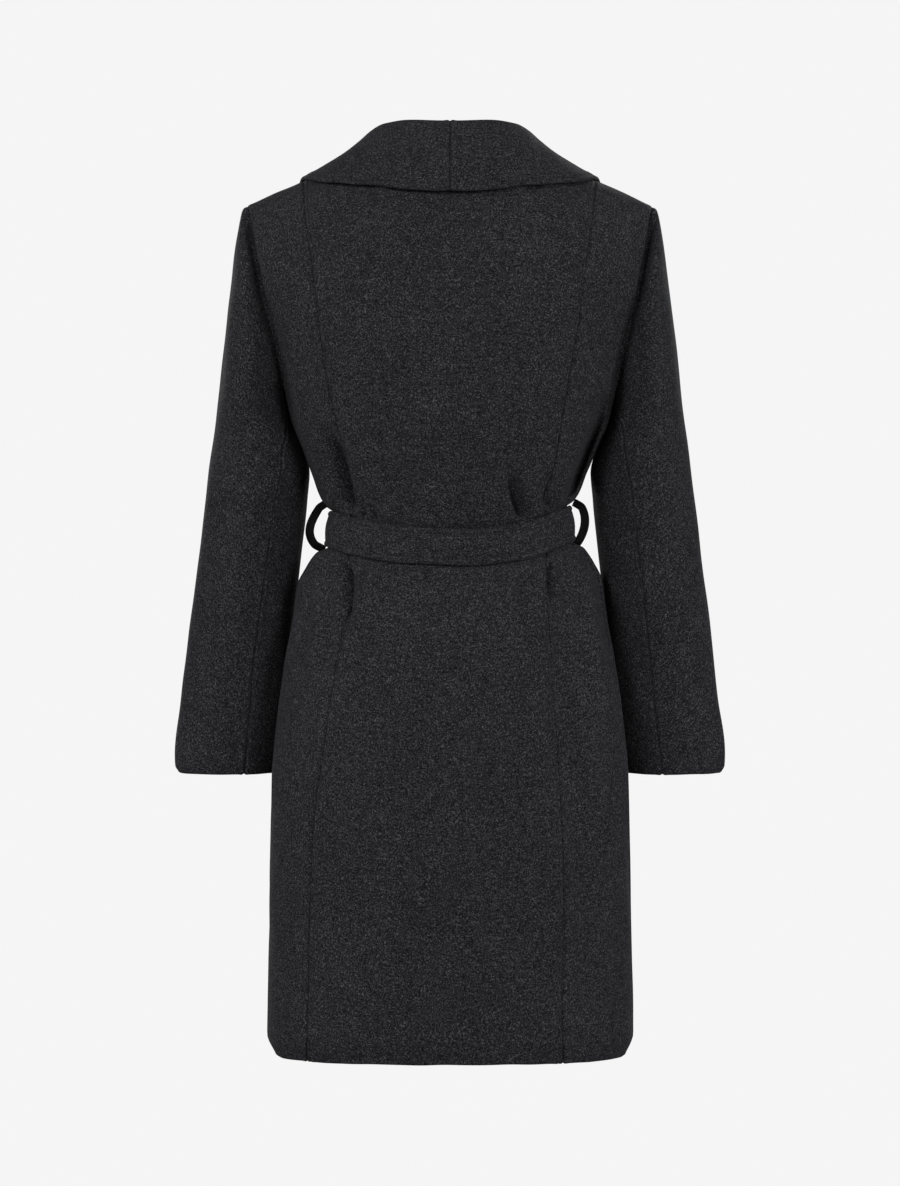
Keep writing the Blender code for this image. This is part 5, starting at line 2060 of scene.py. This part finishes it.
@dataclass
class BeltLoops:
    """Carriers: narrow strips, sewn above and below the belt, that stand out between; their colour
    is darkened to nearly black to paint in their shade.
    """

    top: float = -0.368
    fullness: float = 0.7
    width: float = 0.0115
    length: float = 0.064
    thick: float = 0.003
    crown: float = 0.0004
    twist: float = 40.0
    twist_more: float = 8.0
    turn: float = 0.12
    sewn_in: float = 0.0035
    rows: int = 61
    columns: int = 11
    loops: tuple[Loop, ...] = (
        Loop(Side.LEFT, 91.0, 0.0009, 0.013, 1.35, -0.4192),
        Loop(Side.RIGHT, 88.0, 0.0002, 0.0105, 0.90, -0.4168),
    )

    def loop(self, loop: Loop, start: float) -> None:
        """A strip along a line that bows out and sags, and that twists in the middle.

        Args:
            loop: Its sizes.
            start: Where its pattern starts.
        """
        share = np.linspace(0, 1, self.rows)[:, None]
        level = np.array([self.top, loop.bottom])
        turn = np.full(2, loop.angle)
        ends = COAT.point(turn, level) + COAT.normal(turn, level) * loop.seat
        path = ends[0] * (1 - share) + ends[1] * share
        bow = np.abs(np.sin(math.pi * share**loop.sag)) ** self.fullness
        turned_in = smooth_step((self.turn - np.minimum(share, 1 - share)) / self.turn)
        path = path + np.array([1, 0, 0]) * (loop.bulge * bow - self.sewn_in * turned_in)
        along = unit(np.gradient(path, axis=0))
        across = np.array([0.0, 1.0, 0.0])
        across = unit(across - along * (along @ across)[:, None])
        out = np.cross(across, along)
        twist = np.radians(self.twist + self.twist_more * np.sin(math.pi * share))
        wide = across * np.cos(twist) + out * np.sin(twist)
        thick = np.cross(wide, along)
        place = np.linspace(-0.5, 0.5, self.columns)[None, :, None]
        line = path[:, None] + wide[:, None] * place * (self.width - self.thick)
        half = thick[:, None] * (self.thick / 2 + (1 - (2 * place) ** 2) * self.crown)
        outer, inner = (line + half) * loop.side.mirror, (line - half) * loop.side.mirror
        node = "belt_loop_" + loop.side.word
        piece = shell(node + "_cloth", outer, inner, Rim(first=1, last=1), start, steps=6)
        # The carriers wear the nearly black wool, which paints their shade into their colour.
        dress(piece, SHADE_DARKENED_WOOL, node)

    def build(self) -> None:
        """Builds both carriers."""
        for number, loop in enumerate(self.loops):
            self.loop(loop, 8.2 + 0.3 * number)


# ---- studio ----


class Lamp(NamedTuple):
    """A soft lamp: its name, place, size and power."""

    name: str
    place: tuple[float, float, float]
    size: float
    power: float


@dataclass
class Studio:
    """A plain pale studio with soft light, and the camera behind the coat, level with it."""

    pale: float = 0.913
    shed: float = 0.30
    floor: float = -1.45
    floor_half: float = 6.0
    camera_distance: float = 4.5
    camera_height: float = -0.444
    pixel: float = 0.00105
    image_height: int = 1186
    sensor: float = 36.0
    target: tuple[float, float, float] = (0.0, 0.0, -0.42)
    lamps: tuple[Lamp, ...] = (
        Lamp("back_key", (1.7, 3.6, 1.3), 1.0, 83.0),
        Lamp("back_fill", (-1.8, 3.6, 0.4), 1.2, 59.0),
        Lamp("front_key", (-1.7, -3.6, 1.3), 1.0, 83.0),
        Lamp("front_fill", (1.8, -3.6, 0.4), 1.2, 59.0),
        Lamp("left_side", (3.9, 0.7, 0.3), 1.4, 62.0),
        Lamp("right_side", (-3.9, 0.7, 0.3), 1.4, 64.0),
    )

    def glow(self, tree: bpy.types.NodeTree, kind: str, output: str) -> None:
        """An even pale tone, as bright paper looks that sheds only part of its light on the coat.

        Args:
            tree: The nodes of a world or a material.
            kind: The shader's type.
            output: The output's type.
        """
        tree.nodes.clear()
        seen = Shade(tree).node("ShaderNodeLightPath", {}, {}, "Is Camera Ray")
        strength = self.shed + (1 - self.shed) * seen
        color = (self.pale, self.pale, self.pale, 1)
        shader = seen.node(kind, {}, {"Color": color, "Strength": strength})
        shader.node(output, {}, {0: shader}, None)

    def surroundings(self) -> None:
        """The pale world and a floor of the same tone, well below the hem."""
        world = bpy.data.worlds.new("studio")
        world.use_nodes = True
        self.glow(world.node_tree, "ShaderNodeBackground", "ShaderNodeOutputWorld")
        bpy.context.scene.world = world
        half = self.floor_half
        corners = [(-half, -half), (half, -half), (half, half), (-half, half)]
        mesh = bpy.data.meshes.new("floor")
        mesh.from_pydata([(x, y, self.floor) for x, y in corners], [], [(0, 1, 2, 3)])
        paper = bpy.data.materials.new("floor_paper")
        paper.use_nodes = True
        self.glow(paper.node_tree, "ShaderNodeEmission", "ShaderNodeOutputMaterial")
        mesh.materials.append(paper)
        floor = bpy.data.objects.new("floor", mesh)
        bpy.context.scene.collection.objects.link(floor)

    def light(self) -> None:
        """Soft square lamps, each turned to the coat's middle."""
        for lamp in self.lamps:
            data = bpy.data.lights.new(lamp.name, "AREA")
            data.shape, data.size, data.energy = "SQUARE", lamp.size, lamp.power
            placed = bpy.data.objects.new(lamp.name, data)
            placed.location = lamp.place
            way = np.array(lamp.place) - np.array(self.target)
            placed.rotation_euler = (
                math.acos(way[2] / float(np.linalg.norm(way))),
                0.0,
                math.atan2(way[1], way[0]) + math.pi / 2,
            )
            bpy.context.scene.collection.objects.link(placed)

    def camera(self) -> None:
        """A long lens straight behind the coat, framed as the photograph is."""
        data = bpy.data.cameras.new("camera")
        data.sensor_fit = "VERTICAL"
        data.sensor_height = self.sensor
        data.lens = self.sensor * self.camera_distance / (self.image_height * self.pixel)
        placed = bpy.data.objects.new("camera", data)
        placed.location = (0.0, self.camera_distance, self.camera_height)
        placed.rotation_euler = (math.pi / 2, 0.0, math.pi)
        bpy.context.scene.collection.objects.link(placed)
        bpy.context.scene.camera = placed
        bpy.context.scene.view_settings.view_transform = "Standard"

    def build(self) -> None:
        """Sets up camera, light and surroundings."""
        self.camera()
        self.light()
        self.surroundings()


# ---- the whole coat ----


def main() -> None:
    """Loads the frame and dresses every node in order."""
    logging.basicConfig(level=logging.INFO, format="%(name)s: %(message)s")
    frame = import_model()
    LOG.info("%d packed nodes", len(frame["nodes"]))
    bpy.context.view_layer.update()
    for assembly in (Studio(), Body(), Sleeves(), ShawlCollar(), TieBelt(), BeltLoops()):
        assembly.build()
        LOG.info("%s is done", type(assembly).__name__)


if __name__ == "__main__":
    main()
